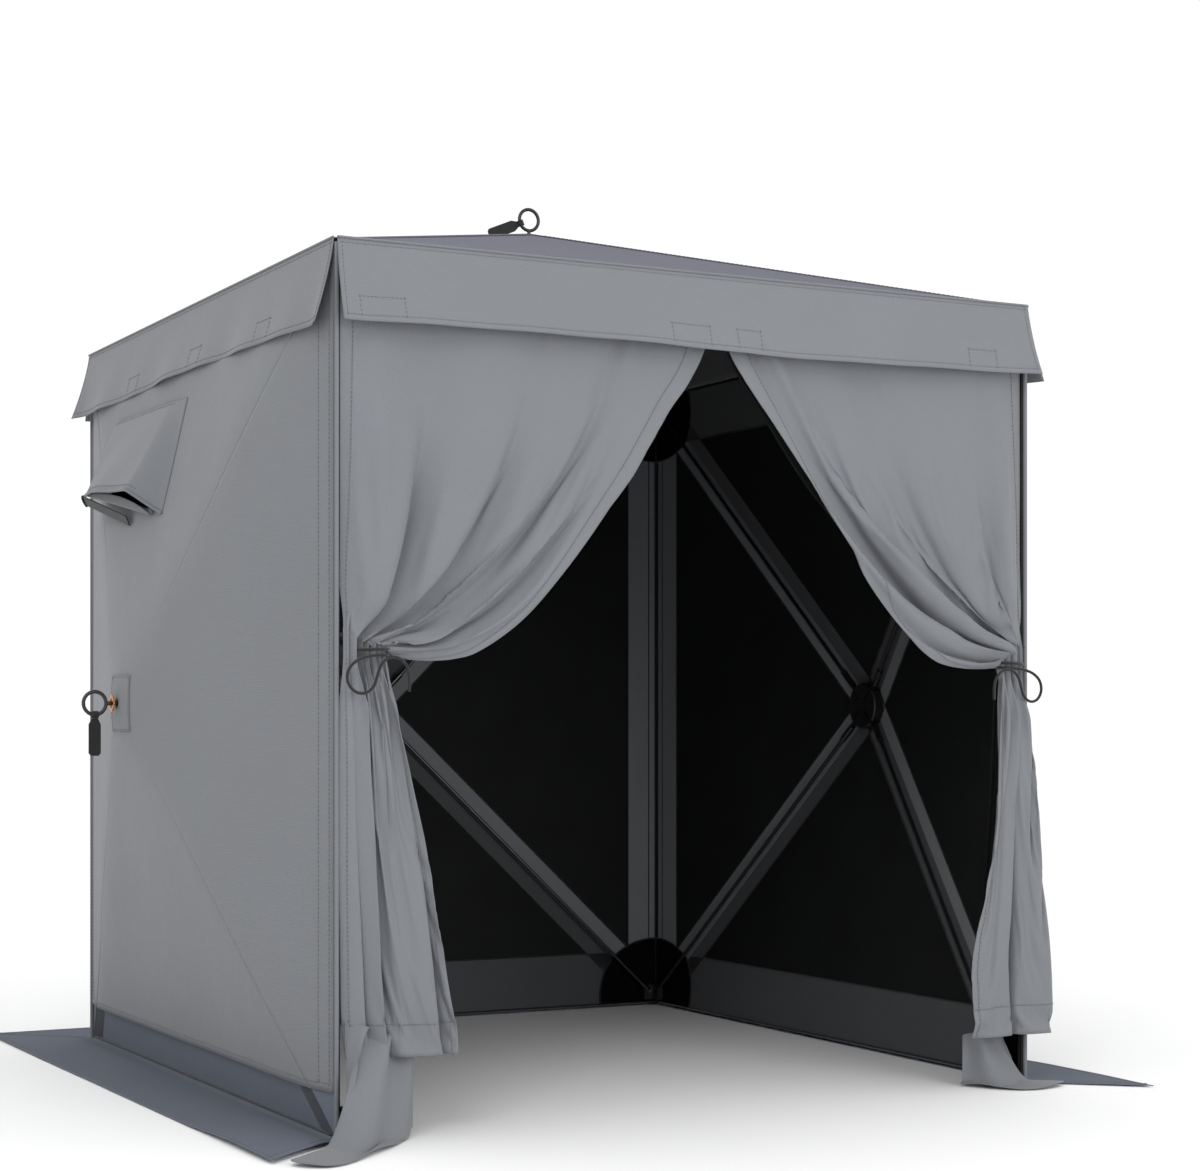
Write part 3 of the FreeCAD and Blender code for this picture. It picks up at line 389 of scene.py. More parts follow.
def make_mesh(name: str, vertices: np.ndarray, faces: Sequence[Sequence[int]], finish: Finish,
              cut: np.ndarray | None = None, smooth: bool = True) -> bpy.types.Object:
    """Makes a mesh object at the origin.

    Args:
        name: The piece's name.
        vertices: Points, in metres, one row each.
        faces: Vertex numbers of each face.
        finish: What it is made of.
        cut: Place of each vertex on the cloth laid flat, in metres, for the weave.
        smooth: Whether its shading is smooth.

    Returns:
        The object, linked to the scene.
    """
    mesh = bpy.data.meshes.new(name)
    mesh.from_pydata([tuple(map(float, v)) for v in vertices], [], [tuple(f) for f in faces])
    mesh.update()
    if cut is not None:
        layer = mesh.uv_layers.new(name="cut")
        corners = np.zeros(len(mesh.loops), np.int32)
        mesh.loops.foreach_get("vertex_index", corners)
        layer.data.foreach_set("uv", np.asarray(cut, np.float32)[corners].ravel())
    mesh.polygons.foreach_set("use_smooth", [smooth] * len(mesh.polygons))
    piece = put(name, mesh)
    piece.data.materials.append(finish.get())
    return piece


@dataclass
class Cloth:
    """A rectangular net of points on a piece of cloth, each with its place on it laid flat."""

    points: np.ndarray
    cut: np.ndarray

    def flipped(self) -> "Cloth":
        """The same cloth with its face on the other side."""
        return Cloth(self.points[:, ::-1], self.cut[:, ::-1])

    def area(self) -> float:
        """The area of the cloth as it hangs, in square metres."""
        p = self.points
        first = np.cross(p[1:, :-1] - p[:-1, :-1], p[:-1, 1:] - p[:-1, :-1])
        second = np.cross(p[1:, 1:] - p[1:, :-1], p[1:, 1:] - p[:-1, 1:])
        return float((np.linalg.norm(first, axis=2) + np.linalg.norm(second, axis=2)).sum() / 2)

    def piece(self, name: str, finish: Finish, thickness: float = 0.0012,
              back: Finish | None = None) -> bpy.types.Object:
        """Makes the cloth a mesh with a thickness behind its face.

        Args:
            name: The piece's name.
            finish: The face's finish.
            thickness: How thick it is, in metres.
            back: Another finish for the reverse.

        Returns:
            The object.
        """
        flat = self.points.reshape(-1, 3)
        faces = []
        for quad in grid_quads(*self.points.shape[:2]):
            kept = []
            for corner in quad:
                if not kept or np.abs(flat[corner] - flat[kept[-1]]).max() > 1e-6:
                    kept.append(int(corner))
            if len(kept) > 2 and np.abs(flat[kept[0]] - flat[kept[-1]]).max() <= 1e-6:
                kept.pop()
            if len(kept) > 2:
                faces.append(kept)
        made = make_mesh(name, flat, faces, finish, self.cut.reshape(-1, 2))
        loose = set(range(len(flat))) - {v for f in faces for v in f}
        if loose:
            prune(made)
        thicken(made, thickness, back)
        return made


def prune(piece: bpy.types.Object) -> None:
    """Deletes the points that no face uses."""
    import bmesh

    work = bmesh.new()
    work.from_mesh(piece.data)
    bmesh.ops.delete(work, geom=[v for v in work.verts if not v.link_faces], context="VERTS")
    work.to_mesh(piece.data)
    work.free()


def thicken(piece: bpy.types.Object, thickness: float, back: Finish | None = None) -> None:
    """Gives a sheet its thickness, behind its face.

    Args:
        piece: The sheet.
        thickness: In metres.
        back: Another finish for the reverse and the rim.
    """
    wall = piece.modifiers.new("thickness", "SOLIDIFY")
    wall.thickness = thickness
    wall.offset = -1.0
    if back is not None:
        piece.data.materials.append(back.get())
        wall.material_offset = 1
        wall.material_offset_rim = 1


def tube(name: str, path: np.ndarray, radius: float, finish: Finish,
         sides: int = 8) -> bpy.types.Object:
    """Makes a round tube along a path.

    Args:
        name: The piece's name.
        path: Points along its middle.
        radius: In metres.
        finish: What it is made of.
        sides: Faces round it.

    Returns:
        The object.
    """
    path = np.asarray(path, float)
    ahead = np.gradient(path, axis=0)
    ahead /= np.linalg.norm(ahead, axis=1)[:, None]
    side = np.array([0.0, 0.0, 1.0]) if abs(ahead[0, 2]) < 0.9 else np.array([1.0, 0.0, 0.0])
    turn = np.linspace(0, 2 * math.pi, sides, endpoint=False)
    rings = []
    for here, way in zip(path, ahead):
        side = side - way * side.dot(way)
        side /= np.linalg.norm(side)
        other = np.cross(way, side)
        rings.append(here + radius * (np.cos(turn)[:, None] * side + np.sin(turn)[:, None] * other))
    count = len(path)
    faces = []
    for ring in range(count - 1):
        for step in range(sides):
            turned = (step + 1) % sides
            faces.append((ring * sides + step, ring * sides + turned,
                          (ring + 1) * sides + turned, (ring + 1) * sides + step))
    faces.append(tuple(reversed(range(sides))))
    faces.append(tuple(range((count - 1) * sides, count * sides)))
    return make_mesh(name, np.concatenate(rings), faces, finish)


def joined(name: str, parts: Sequence[bpy.types.Object]) -> bpy.types.Object:
    """Joins several meshes, with their modifiers applied, into one piece.

    Args:
        name: The new piece's name.
        parts: The meshes, which are used up.

    Returns:
        The joined object.
    """
    bpy.context.view_layer.update()
    graph = bpy.context.evaluated_depsgraph_get()
    for part in parts:
        baked = bpy.data.meshes.new_from_object(part.evaluated_get(graph))
        part.modifiers.clear()
        part.data = baked
    with bpy.context.temp_override(active_object=parts[0], selected_editable_objects=list(parts)):
        bpy.ops.object.join()
    parts[0].name = name
    parts[0].data.name = name
    return parts[0]


class StitchLines:
    """Lock stitches set along paths by a geometry node tree."""

    _tree: bpy.types.NodeTree | None = None

    @classmethod
    def tree(cls) -> bpy.types.NodeTree:
        """The tree that lays stitches along a curve, built once.

        Returns:
            A tree with inputs for pitch, stitch length, thread radius and finish.
        """
        if cls._tree is not None:
            return cls._tree
        tree = bpy.data.node_groups.new("lock_stitches", "GeometryNodeTree")
        tree.interface.new_socket("Path", in_out="INPUT", socket_type="NodeSocketGeometry")
        for label, usual in (("Pitch", 0.009), ("Stitch Length", 0.0062),
                             ("Thread Radius", 0.0008)):
            socket = tree.interface.new_socket(label, in_out="INPUT", socket_type="NodeSocketFloat")
            socket.default_value = usual
        tree.interface.new_socket("Finish", in_out="INPUT", socket_type="NodeSocketMaterial")
        tree.interface.new_socket("Stitches", in_out="OUTPUT", socket_type="NodeSocketGeometry")
        given = add_node(tree, "NodeGroupInput")
        spaced = add_node(tree, "GeometryNodeResampleCurve", {
            "Curve": given.outputs["Path"], "Length": given.outputs["Pitch"]}, mode="LENGTH")
        tangent = add_node(tree, "GeometryNodeInputTangent")
        turned = add_node(tree, "FunctionNodeAlignEulerToVector", {
            "Vector": tangent.outputs[0]}, axis="Z")
        thread = add_node(tree, "GeometryNodeMeshCylinder", {
            "Vertices": 5, "Radius": given.outputs["Thread Radius"],
            "Depth": given.outputs["Stitch Length"]}, fill_type="NGON")
        placed = add_node(tree, "GeometryNodeInstanceOnPoints", {
            "Points": spaced.outputs[0], "Instance": thread.outputs["Mesh"],
            "Rotation": turned.outputs[0]})
        real = add_node(tree, "GeometryNodeRealizeInstances", {"Geometry": placed.outputs[0]})
        dressed = add_node(tree, "GeometryNodeSetMaterial", {
            "Geometry": real.outputs[0], "Material": given.outputs["Finish"]})
        add_node(tree, "NodeGroupOutput", {"Stitches": dressed.outputs[0]})
        cls._tree = tree
        return tree

    @classmethod
    def sew(cls, name: str, paths: Iterable[np.ndarray], body: str,
            pitch: float) -> bpy.types.Object:
        """Sews stitches along paths.

        Args:
            name: The piece's name.
            paths: Lines of points that lie on the cloth's face.
            body: The body that the cloth rides on.
            pitch: From stitch to stitch, in metres.

        Returns:
            The stitches, as one mesh that rides on the body.
        """
        line = bpy.data.curves.new(name, "CURVE")
        line.dimensions = "3D"
        for path in paths:
            spline = line.splines.new("POLY")
            spline.points.add(len(path) - 1)
            for point, place in zip(spline.points, path):
                point.co = (*map(float, place), 1.0)
        holder = put(name + "_path", line)
        modifier = holder.modifiers.new("stitches", "NODES")
        modifier.node_group = cls.tree()
        keys = {item.name: item.identifier for item in modifier.node_group.interface.items_tree
                if item.item_type == "SOCKET" and item.in_out == "INPUT"}
        modifier[keys["Pitch"]] = pitch
        modifier[keys["Stitch Length"]] = pitch * 0.68
        modifier[keys["Finish"]] = Finish.STITCH.get()
        bpy.context.view_layer.update()
        graph = bpy.context.evaluated_depsgraph_get()
        mesh = bpy.data.meshes.new_from_object(holder.evaluated_get(graph))
        mesh.name = name
        bpy.data.objects.remove(holder)
        piece = put(name, mesh)
        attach(piece, body)
        return piece


# ---------------------------------------------------------------- the four hub panels


@dataclass(frozen=True)
class PanelAxes:
    """One hub panel: across, up and outward from its flat plane, in metres."""

    name: str
    origin: Point
    across: Point
    up: Point
    outward: Point
    low: float
    high: float
    hub_up: float
    rise: float
    sides: tuple[str, str]
    levels: tuple[str, str]

    def world(self, across: np.ndarray, up: np.ndarray, outward: np.ndarray) -> np.ndarray:
        """Places in the panel's axes as places in the tent's axes."""
        return (np.array(self.origin) + np.multiply.outer(across, np.array(self.across))
                + np.multiply.outer(up, np.array(self.up))
                + np.multiply.outer(outward, np.array(self.outward)))


def wall_axes(name: str, outward: Point, across: Point, sides: tuple[str, str]) -> PanelAxes:
    """A wall of the tent as a panel."""
    return PanelAxes(name, tuple(HALF_SIDE * v for v in outward), across, (0, 0, 1), outward,
                     GROUND_HEM, WALL_TOP, HUB_HEIGHT, WALL_RISE, sides, ("lower", "upper"))


LEFT = wall_axes("left", (-1, 0, 0), (0, -1, 0), ("back", "front"))
BACK = wall_axes("back", (0, 1, 0), (-1, 0, 0), ("right", "left"))
RIGHT = wall_axes("right", (1, 0, 0), (0, 1, 0), ("front", "back"))
ROOF = PanelAxes("roof", (0, 0, ROOF_PLANE), (1, 0, 0), (0, 1, 0), (0, 0, 1),
                 -HINGE_HALF, HINGE_HALF, 0.0, ROOF_RISE, ("left", "right"), ("front", "back"))


class Facet(Enum):
    """Which of a panel's four triangles: its hinge side as (across, up)."""

    LOW = (0, -1)
    HIGH = (0, 1)
    FIRST = (-1, 0)
    SECOND = (1, 0)

    def label(self, panel: PanelAxes) -> str:
        """The triangle's own name on that panel."""
        across, up = self.value
        if up:
            return panel.levels[0 if up < 0 else 1]
        return panel.sides[0 if across < 0 else 1]


@dataclass
class Triangle:
    """One flat triangle of cloth between a hinge line and the hub, with its own axes."""

    panel: PanelAxes
    facet: Facet
    start: np.ndarray = field(init=False)
    along: np.ndarray = field(init=False)
    up: np.ndarray = field(init=False)
    normal: np.ndarray = field(init=False)
    width: float = field(init=False)
    foot: float = field(init=False)
    height: float = field(init=False)

    def __post_init__(self) -> None:
        """Works out the triangle's axes from the panel's sizes."""
        panel = self.panel
        across, up = self.facet.value
        if up:
            edge = panel.high if up > 0 else panel.low
            ends = [(-up * HINGE_HALF, edge), (up * HINGE_HALF, edge)]
        else:
            ends = [(across * HINGE_HALF, panel.low if across < 0 else panel.high),
                    (across * HINGE_HALF, panel.high if across < 0 else panel.low)]
        start, end = (panel.world(np.float64(a), np.float64(b), np.float64(0.0)) for a, b in ends)
        apex = panel.world(np.float64(0.0), np.float64(panel.hub_up), np.float64(panel.rise))
        self.start = start
        self.width = float(np.linalg.norm(end - start))
        self.along = (end - start) / self.width
        self.foot = float((apex - start) @ self.along)
        rising = apex - start - self.along * self.foot
        self.height = float(np.linalg.norm(rising))
        self.up = rising / self.height
        self.normal = np.cross(self.up, self.along)
        if self.normal @ np.array(panel.outward) < 0:
            self.normal = -self.normal

    @property
    def body(self) -> str:
        """The body that this triangle's cloth rides on."""
        return f"{self.panel.name}_{self.facet.label(self.panel)}_cloth"

    @property
    def label(self) -> str:
        """The start of this triangle's piece names."""
        return f"{self.panel.name}_{self.facet.label(self.panel)}"

    @property
    def outline(self) -> list[Pair]:
        """The triangle's own outline, in its flat axes."""
        return [(0.0, 0.0), (self.width, 0.0), (self.foot, self.height)]

    @property
    def hem(self) -> np.ndarray:
        """Places along the hinge line, a little short of its ends, in the flat axes."""
        return np.linspace(0.01, self.width - 0.01, 60)[:, None] * np.array([1.0, 0.0])

    def at(self, flat: Sequence[Pair] | np.ndarray, out: float = 0.0) -> np.ndarray:
        """Places on the triangle from (along, up) pairs, raised outward by out."""
        flat = np.asarray(flat, float)
        return (self.start + flat[:, :1] * self.along + flat[:, 1:2] * self.up
                + out * self.normal)

    def crease(self, first: bool) -> tuple[np.ndarray, np.ndarray]:
        """A crease's foot and its direction to the hub, in the triangle's own flat axes."""
        foot = np.array([0.0 if first else self.width, 0.0])
        way = np.array([self.foot, self.height]) - foot
        return foot, way / np.linalg.norm(way)

    def inward(self, first: bool) -> np.ndarray:
        """The direction from a crease into the triangle, in the flat axes."""
        across, up = self.crease(first)[1]
        return np.array([up, -across]) if first else np.array([-up, across])

    def beside(self, first: bool, inset: float) -> tuple[Pair, Pair]:
        """A line beside a crease, with the crease on its left: a place on it and its direction."""
        foot, way = self.crease(first)
        return tuple(foot + self.inward(first) * inset), tuple(way if first else -way)

    def round_edge(self, first: bool, radius: float, count: int) -> list[Pair]:
        """The round edge of a corner pocket, from the hinge line to the crease.

        Args:
            first: Whether it is the corner of the first crease.
            radius: The pocket's reach from the corner, in metres.
            count: How many places.

        Returns:
            The edge's places, in the flat axes.
        """
        foot, way = self.crease(first)
        sweep = np.linspace(0.0 if first else math.pi, math.atan2(way[1], way[0]), count)
        return [(foot[0] + radius * math.cos(a), foot[1] + radius * math.sin(a)) for a in sweep]

    def patch(self, name: str, outline: Sequence[Pair], finish: Finish, out: float,
              thickness: float = 0.0012, back: Finish | None = None) -> bpy.types.Object:
        """A flat piece of cloth sewn on the triangle.

        Args:
            name: The piece's name.
            outline: Its corners as (along, up).
            finish: The outer face's finish.
            out: How far outside the triangle it lies; negative is inside.
            thickness: In metres.
            back: The inner face's finish.

        Returns:
            The object, not yet riding on a body.
        """
        outline = np.asarray(outline, float)
        area = np.sum(outline[:, 0] * np.roll(outline[:, 1], -1)
                      - np.roll(outline[:, 0], -1) * outline[:, 1])
        facing = np.cross(self.along, self.up) @ self.normal
        if area * facing < 0:
            outline = outline[::-1]
        made = make_mesh(name, self.at(outline, out), [range(len(outline))], finish, outline,
                         smooth=False)
        thicken(made, thickness, back)
        return made


def clip(outline: Sequence[Pair], point: Pair, way: Pair) -> list[Pair]:
    """Cuts an outline along a line and keeps what is on the line's left.

    Args:
        outline: Corners, in order.
        point: A place on the line.
        way: The line's direction.

    Returns:
        The corners of what is left.
    """
    def side(place: Pair) -> float:
        """How far left of the line a place is."""
        return way[0] * (place[1] - point[1]) - way[1] * (place[0] - point[0])

    kept: list[Pair] = []
    for here, following in zip(outline, [*outline[1:], outline[0]]):
        a, b = side(here), side(following)
        if a >= 0:
            kept.append(tuple(here))
        if a * b < 0:
            share = a / (a - b)
            kept.append((here[0] + (following[0] - here[0]) * share,
                         here[1] + (following[1] - here[1]) * share))
    return kept


@dataclass
class ScreenPanel:
    """The netting of one wall with its bands, sleeves, piping and corner pockets."""

    panel: PanelAxes
    corner_band: float = 0.090
    lower_band: float = 0.158
    top_band: float = 0.150
    sleeve: float = 0.056
    piping: float = 0.004
    pocket: float = 0.200
    lining_gap: float = 0.0016

    def band_lines(self, t: Triangle) -> list[tuple[Pair, Pair]]:
        """The inner edges of the bands on a triangle, as lines with the band on their left."""
        bands = {Facet.LOW: self.lower_band, Facet.HIGH: self.top_band}
        edge = ((0.0, bands.get(t.facet, self.corner_band)), (-1.0, 0.0))
        return [edge, t.beside(True, self.sleeve), t.beside(False, self.sleeve)]

    def netting(self, t: Triangle) -> None:
        """The netting itself, with the edge bands and sleeves sewn inside it."""
        net = t.patch(f"netting_{t.label}", t.outline, Finish.NETTING, 0.0, 0.0008)
        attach(net, t.body)
        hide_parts(f"screen_{t.label}")

    def bands(self, t: Triangle) -> None:
        """Dark bands and sleeves inside, in one sewn border, with grey Oxford outside."""
        parts = []
        for number, (point, way) in enumerate(self.band_lines(t)):
            outline = clip(t.outline, point, way)
            for inside in (True, False):
                out = -self.lining_gap if inside else self.lining_gap
                outer = Finish.FLAP if t.facet is Facet.LOW and number == 0 else Finish.COVER
                inner = Finish.SLEEVE if t.facet in (Facet.LOW, Facet.HIGH) else Finish.COVER
                part = t.patch(f"band_{t.label}_{number}_{inside}", outline,
                               inner if inside else outer, out, 0.0006)
                parts.append(part)
        if t.facet in (Facet.FIRST, Facet.SECOND):
            parts.append(self.low_corner(t))
        border = joined(f"border_{t.label}", parts)
        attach(border, t.body)

    def low_corner(self, t: Triangle) -> bpy.types.Object:
        """The end of the lower band that runs on over a side triangle to the corner."""
        low_first = t.facet is Facet.FIRST
        low = 0.0 if low_first else t.width
        step = self.lower_band if low_first else -self.lower_band
        way = t.crease(low_first)[1]
        reach = self.lower_band / abs(way[0]) * way[1]
        outline = [(low, 0.0), (low + step, 0.0), (low + step, reach)]
        return t.patch(f"low_corner_{t.label}", outline, Finish.FLAP, self.lining_gap * 2, 0.0006,
                       Finish.SLEEVE)

    def pipings(self, t: Triangle) -> None:
        """Black piping along the band edges, as the bound seams stand proud inside."""
        parts = []
        for number, (point, way) in enumerate(self.band_lines(t)):
            band = clip(t.outline, point, way)
            on_line = [p for p in band
                       if abs(way[0] * (p[1] - point[1]) - way[1] * (p[0] - point[0])) < 1e-6]
            if len(on_line) < 2:
                continue
            a, b = np.array(on_line[0]), np.array(on_line[-1])
            line = a + np.linspace(0, 1, 40)[:, None] * (b - a)
            parts.append(tube(f"piping_{t.label}_{number}", t.at(line, -0.003), self.piping / 2,
                              Finish.BINDING, 6))
        parts.append(tube(f"hem_{t.label}", t.at(t.hem), self.piping * 0.9, Finish.BINDING, 8))
        piece = joined(f"piping_{t.label}", parts)
        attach(piece, t.body)

    def pockets(self, t: Triangle) -> None:
        """The halves of the black corner pockets that belong to this triangle."""
        parts = []
        for first in (True, False):
            rim = t.round_edge(first, self.pocket, 15)
            outline = [tuple(t.crease(first)[0]), *rim]
            parts.append(t.patch(f"pocket_{t.label}_{first}", outline, Finish.POCKET,
                                 -self.lining_gap * 2.2, 0.0022))
            parts.append(tube(f"pocket_rim_{t.label}_{first}", t.at(rim, -0.006), 0.0022,
                              Finish.BINDING, 6))
        piece = joined(f"pockets_{t.label}", parts)
        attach(piece, t.body)

    def build(self) -> None:
        """Builds the wall's four triangles."""
        for facet in Facet:
            t = Triangle(self.panel, facet)
            self.netting(t)
            self.bands(t)
            self.pipings(t)
            self.pockets(t)
        log.info("screens of the %s wall", self.panel.name)


# ---------------------------------------------------------------- privacy covers


@dataclass
class Cover:
    """A wall's privacy cover: four facets of soft cloth drawn over the popped-out hub."""

    panel: PanelAxes
    half_width: float = 0.909
    top: float = 1.930
    hem: float = 0.105
    edge_gap: float = 0.008
    rise: float = 0.222
    hole: float = 0.011
    rounding: float = 0.010
    ripple: float = 0.0035
    patch_half: float = 0.069
    stitch_inset: float = 0.016
    second_inset: float = 0.040
    columns: int = 96
    seed: float = 0.0

    def height(self, across: np.ndarray, up: np.ndarray) -> np.ndarray:
        """How far out the cloth stands: a pyramid with soft ridges, and slow ripples.

        Args:
            across: Places across the wall.
            up: Heights above the ground.

        Returns:
            Distances outward from the wall's plane.
        """
        side = 1 - np.abs(across) / self.half_width
        above = (self.top - up) / (self.top - HUB_HEIGHT)
        below = up / HUB_HEIGHT
        planes = np.stack([side, above, below])
        soft = self.rounding / self.rise
        low = planes.min(axis=0)
        eased = low - soft * np.log(np.exp(-(planes - low) / soft).sum(axis=0))
        eased = np.maximum(eased, 0.0)
        out = self.edge_gap + (self.rise - self.edge_gap) * eased
        return out + self.ripples(across, up) * smooth_step(0.0, 0.25, low)

    def ripples(self, across: np.ndarray, up: np.ndarray) -> np.ndarray:
        """Slow, seeded ripples of slack cloth."""
        flat = np.stack([np.ravel(across), np.ravel(up)], axis=1)
        values = [noise.noise(Vector((a * 2.6, b * 1.7, self.seed))) * 1.2
                  + noise.noise(Vector((a * 6.5 + b * 2.0, b * 3.2, self.seed + 5))) * 0.45
                  for a, b in flat]
        return self.ripple * np.array(values).reshape(np.shape(across))

    def boundary(self, facet: Facet, count: int) -> np.ndarray:
        """Places along a facet's outer edge, from one crease to the other."""
        crease = self.half_width * (HUB_HEIGHT - self.hem) / HUB_HEIGHT
        if facet is Facet.LOW:
            line = [(-crease, self.hem), (crease, self.hem)]
        elif facet is Facet.HIGH:
            line = [(self.half_width, self.top), (-self.half_width, self.top)]
        elif facet is Facet.FIRST:
            line = [(-self.half_width, self.top), (-self.half_width, self.hem), (-crease, self.hem)]
        else:
            line = [(crease, self.hem), (self.half_width, self.hem), (self.half_width, self.top)]
        line = np.array(line)
        lengths = run_lengths(line)
        places = np.linspace(0, lengths[-1], count)
        nearest = np.abs(places[:, None] - lengths[None, 1:-1]).argmin(axis=0)
        places[nearest] = lengths[1:-1]
        return np.stack([np.interp(places, lengths, line[:, k]) for k in (0, 1)], axis=1)

    def fan(self, facet: Facet, reach: np.ndarray | float, rows: int = 60,
            out: float = 0.0) -> Cloth:
        """The cloth of a facet between the hub's hole and its outer edge.

        Args:
            facet: Which facet.
            reach: The share of the way to the outer edge where it ends.
            rows: Steps outward.
            out: How far it lies outside the cover.

        Returns:
            The net of points.
        """
        hub = np.array([0.0, HUB_HEIGHT])
        edge = self.boundary(facet, self.columns) - hub
        first = self.hole / np.linalg.norm(edge, axis=1)
        share = first + (reach - first) * np.linspace(0, 1, rows)[:, None]
        flat = hub + share[..., None] * edge
        height = self.height(flat[..., 0], flat[..., 1]) + out
        return Cloth(self.panel.world(flat[..., 0], flat[..., 1], height), flat)

    def surface(self, flat: np.ndarray, out: float) -> np.ndarray:
        """Places on the cover's face from (across, up) pairs."""
        return self.panel.world(flat[:, 0], flat[:, 1], self.height(flat[:, 0], flat[:, 1]) + out)

    def square_reach(self, facet: Facet) -> np.ndarray:
        """How far towards each place of the outer edge the square patch reaches."""
        edge = np.abs(self.boundary(facet, self.columns) - np.array([0.0, HUB_HEIGHT]))
        return self.patch_half / edge.max(axis=1)

    def facet_pieces(self, facet: Facet) -> None:
        """One facet with its hem, its share of the hub patch and their stitches."""
        label = f"{self.panel.name}_{facet.label(self.panel)}"
        body = f"{label}_cloth"
        cloth = self.fan(facet, 1.0).flipped()
        piece = cloth.piece(f"cover_{label}", Finish.COVER, 0.0014)
        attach(piece, body)
        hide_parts(f"cover_{self.panel.name}")
        area = cloth.area()
        patch = self.fan(facet, self.square_reach(facet), 14, out=0.0022)
        quarter = patch.flipped().piece(f"hub_patch_{label}", Finish.HOOK_TAPE, 0.0014)
        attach(quarter, body)
        inset = self.fan(facet, self.square_reach(facet) * 0.93, 14, out=0.0026)
        lines = [inset.points[-1]]
        ring = self.boundary(facet, 160)
        ring[:, 0] *= (self.half_width - self.stitch_inset) / self.half_width
        ring[:, 1] = np.clip(ring[:, 1], self.hem + 0.018, self.top)
        lines.append(self.surface(ring, 0.0006))
        if facet in (Facet.FIRST, Facet.SECOND):
            double = ring.copy()
            double[:, 0] *= (self.half_width - self.second_inset) / self.half_width
            lines.append(self.surface(double, 0.0006))
        StitchLines.sew(f"cover_stitches_{label}", lines, body, 0.010)

    def build(self) -> None:
        """Builds the four facets."""
        for facet in Facet:
            self.facet_pieces(facet)
        log.info("privacy cover of the %s wall", self.panel.name)


# ---------------------------------------------------------------- roof and valances


@dataclass
class Roof:
    """Four roof gores with taped seams, corner pockets, and the pole sleeves inside."""

    panel: PanelAxes = ROOF
    seam: float = 0.017
    sleeve: float = 0.050
    sag: float = 0.006
    pocket: float = 0.185

    def gore(self, t: Triangle) -> Cloth:
        """A gore's net of points, with a slight sag between its poles.

        Args:
            t: The gore's triangle.

        Returns:
            The net, from the eaves to the peak.
        """
        rows, columns = 40, 72
        rise = np.linspace(0, 1, rows)[:, None]
        along = np.linspace(0, 1, columns)[None, :]
        left, right = rise * t.foot, t.width - rise * (t.width - t.foot)
        flat_along = left + (right - left) * along
        flat_up = np.broadcast_to(rise * t.height, flat_along.shape)
        dip = self.sag * 16 * along * (1 - along) * rise * (1 - rise)
        flat = np.stack([flat_along, flat_up], axis=-1)
        across, up = t.facet.value
        slack = noise_over(flat, (3.1, 2.3), 4.0 + across + 2 * up)
        dip = dip + 0.0022 * slack * 4 * along * (1 - along)
        points = (t.start + flat_along[..., None] * t.along + flat_up[..., None] * t.up
                  - dip[..., None] * t.normal)
        return Cloth(points, flat)

    def build(self) -> None:
        """Builds the gores, their seams and what is sewn inside them."""
        for facet in Facet:
            t = Triangle(self.panel, facet)
            label = facet.label(self.panel)
            cloth = self.gore(t)
            if np.cross(t.along, t.up) @ t.normal < 0:
                cloth = cloth.flipped()
            piece = cloth.piece(f"gore_{label}", Finish.ROOF, 0.0014, Finish.SLEEVE)
            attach(piece, t.body)
            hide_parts(f"roof_gore_{label}")
            parts = []
            for first in (True, False):
                tape = clip(t.outline, *t.beside(first, self.seam))
                parts.append(t.patch(f"tape_{label}_{first}", tape, Finish.ROOF, 0.0016))
                inner = clip(t.outline, *t.beside(first, self.sleeve))
                parts.append(t.patch(f"sleeve_{label}_{first}", inner, Finish.SLEEVE,
                                     -0.010, 0.0006))
                pocket = [tuple(t.crease(first)[0]), *t.round_edge(first, self.pocket, 13)]
                parts.append(t.patch(f"roof_pocket_{label}_{first}", pocket, Finish.POCKET,
                                     -0.012, 0.0016))
            parts.append(tube(f"roof_hem_{label}", t.at(t.hem, 0.0), 0.0036, Finish.ROOF, 8))
            seams = joined(f"roof_seams_{label}", parts)
            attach(seams, t.body)
            lines = []
            for first in (True, False):
                foot, way = t.crease(first)
                run = np.linspace(0.03, 0.96, 120)[:, None] * way * np.linalg.norm(
                    np.array([t.foot, t.height]) - foot)
                lines.append(t.at(foot + t.inward(first) * self.seam * 0.8 + run, 0.0022))
            StitchLines.sew(f"roof_stitches_{label}", lines, t.body, 0.012)
        log.info("roof")


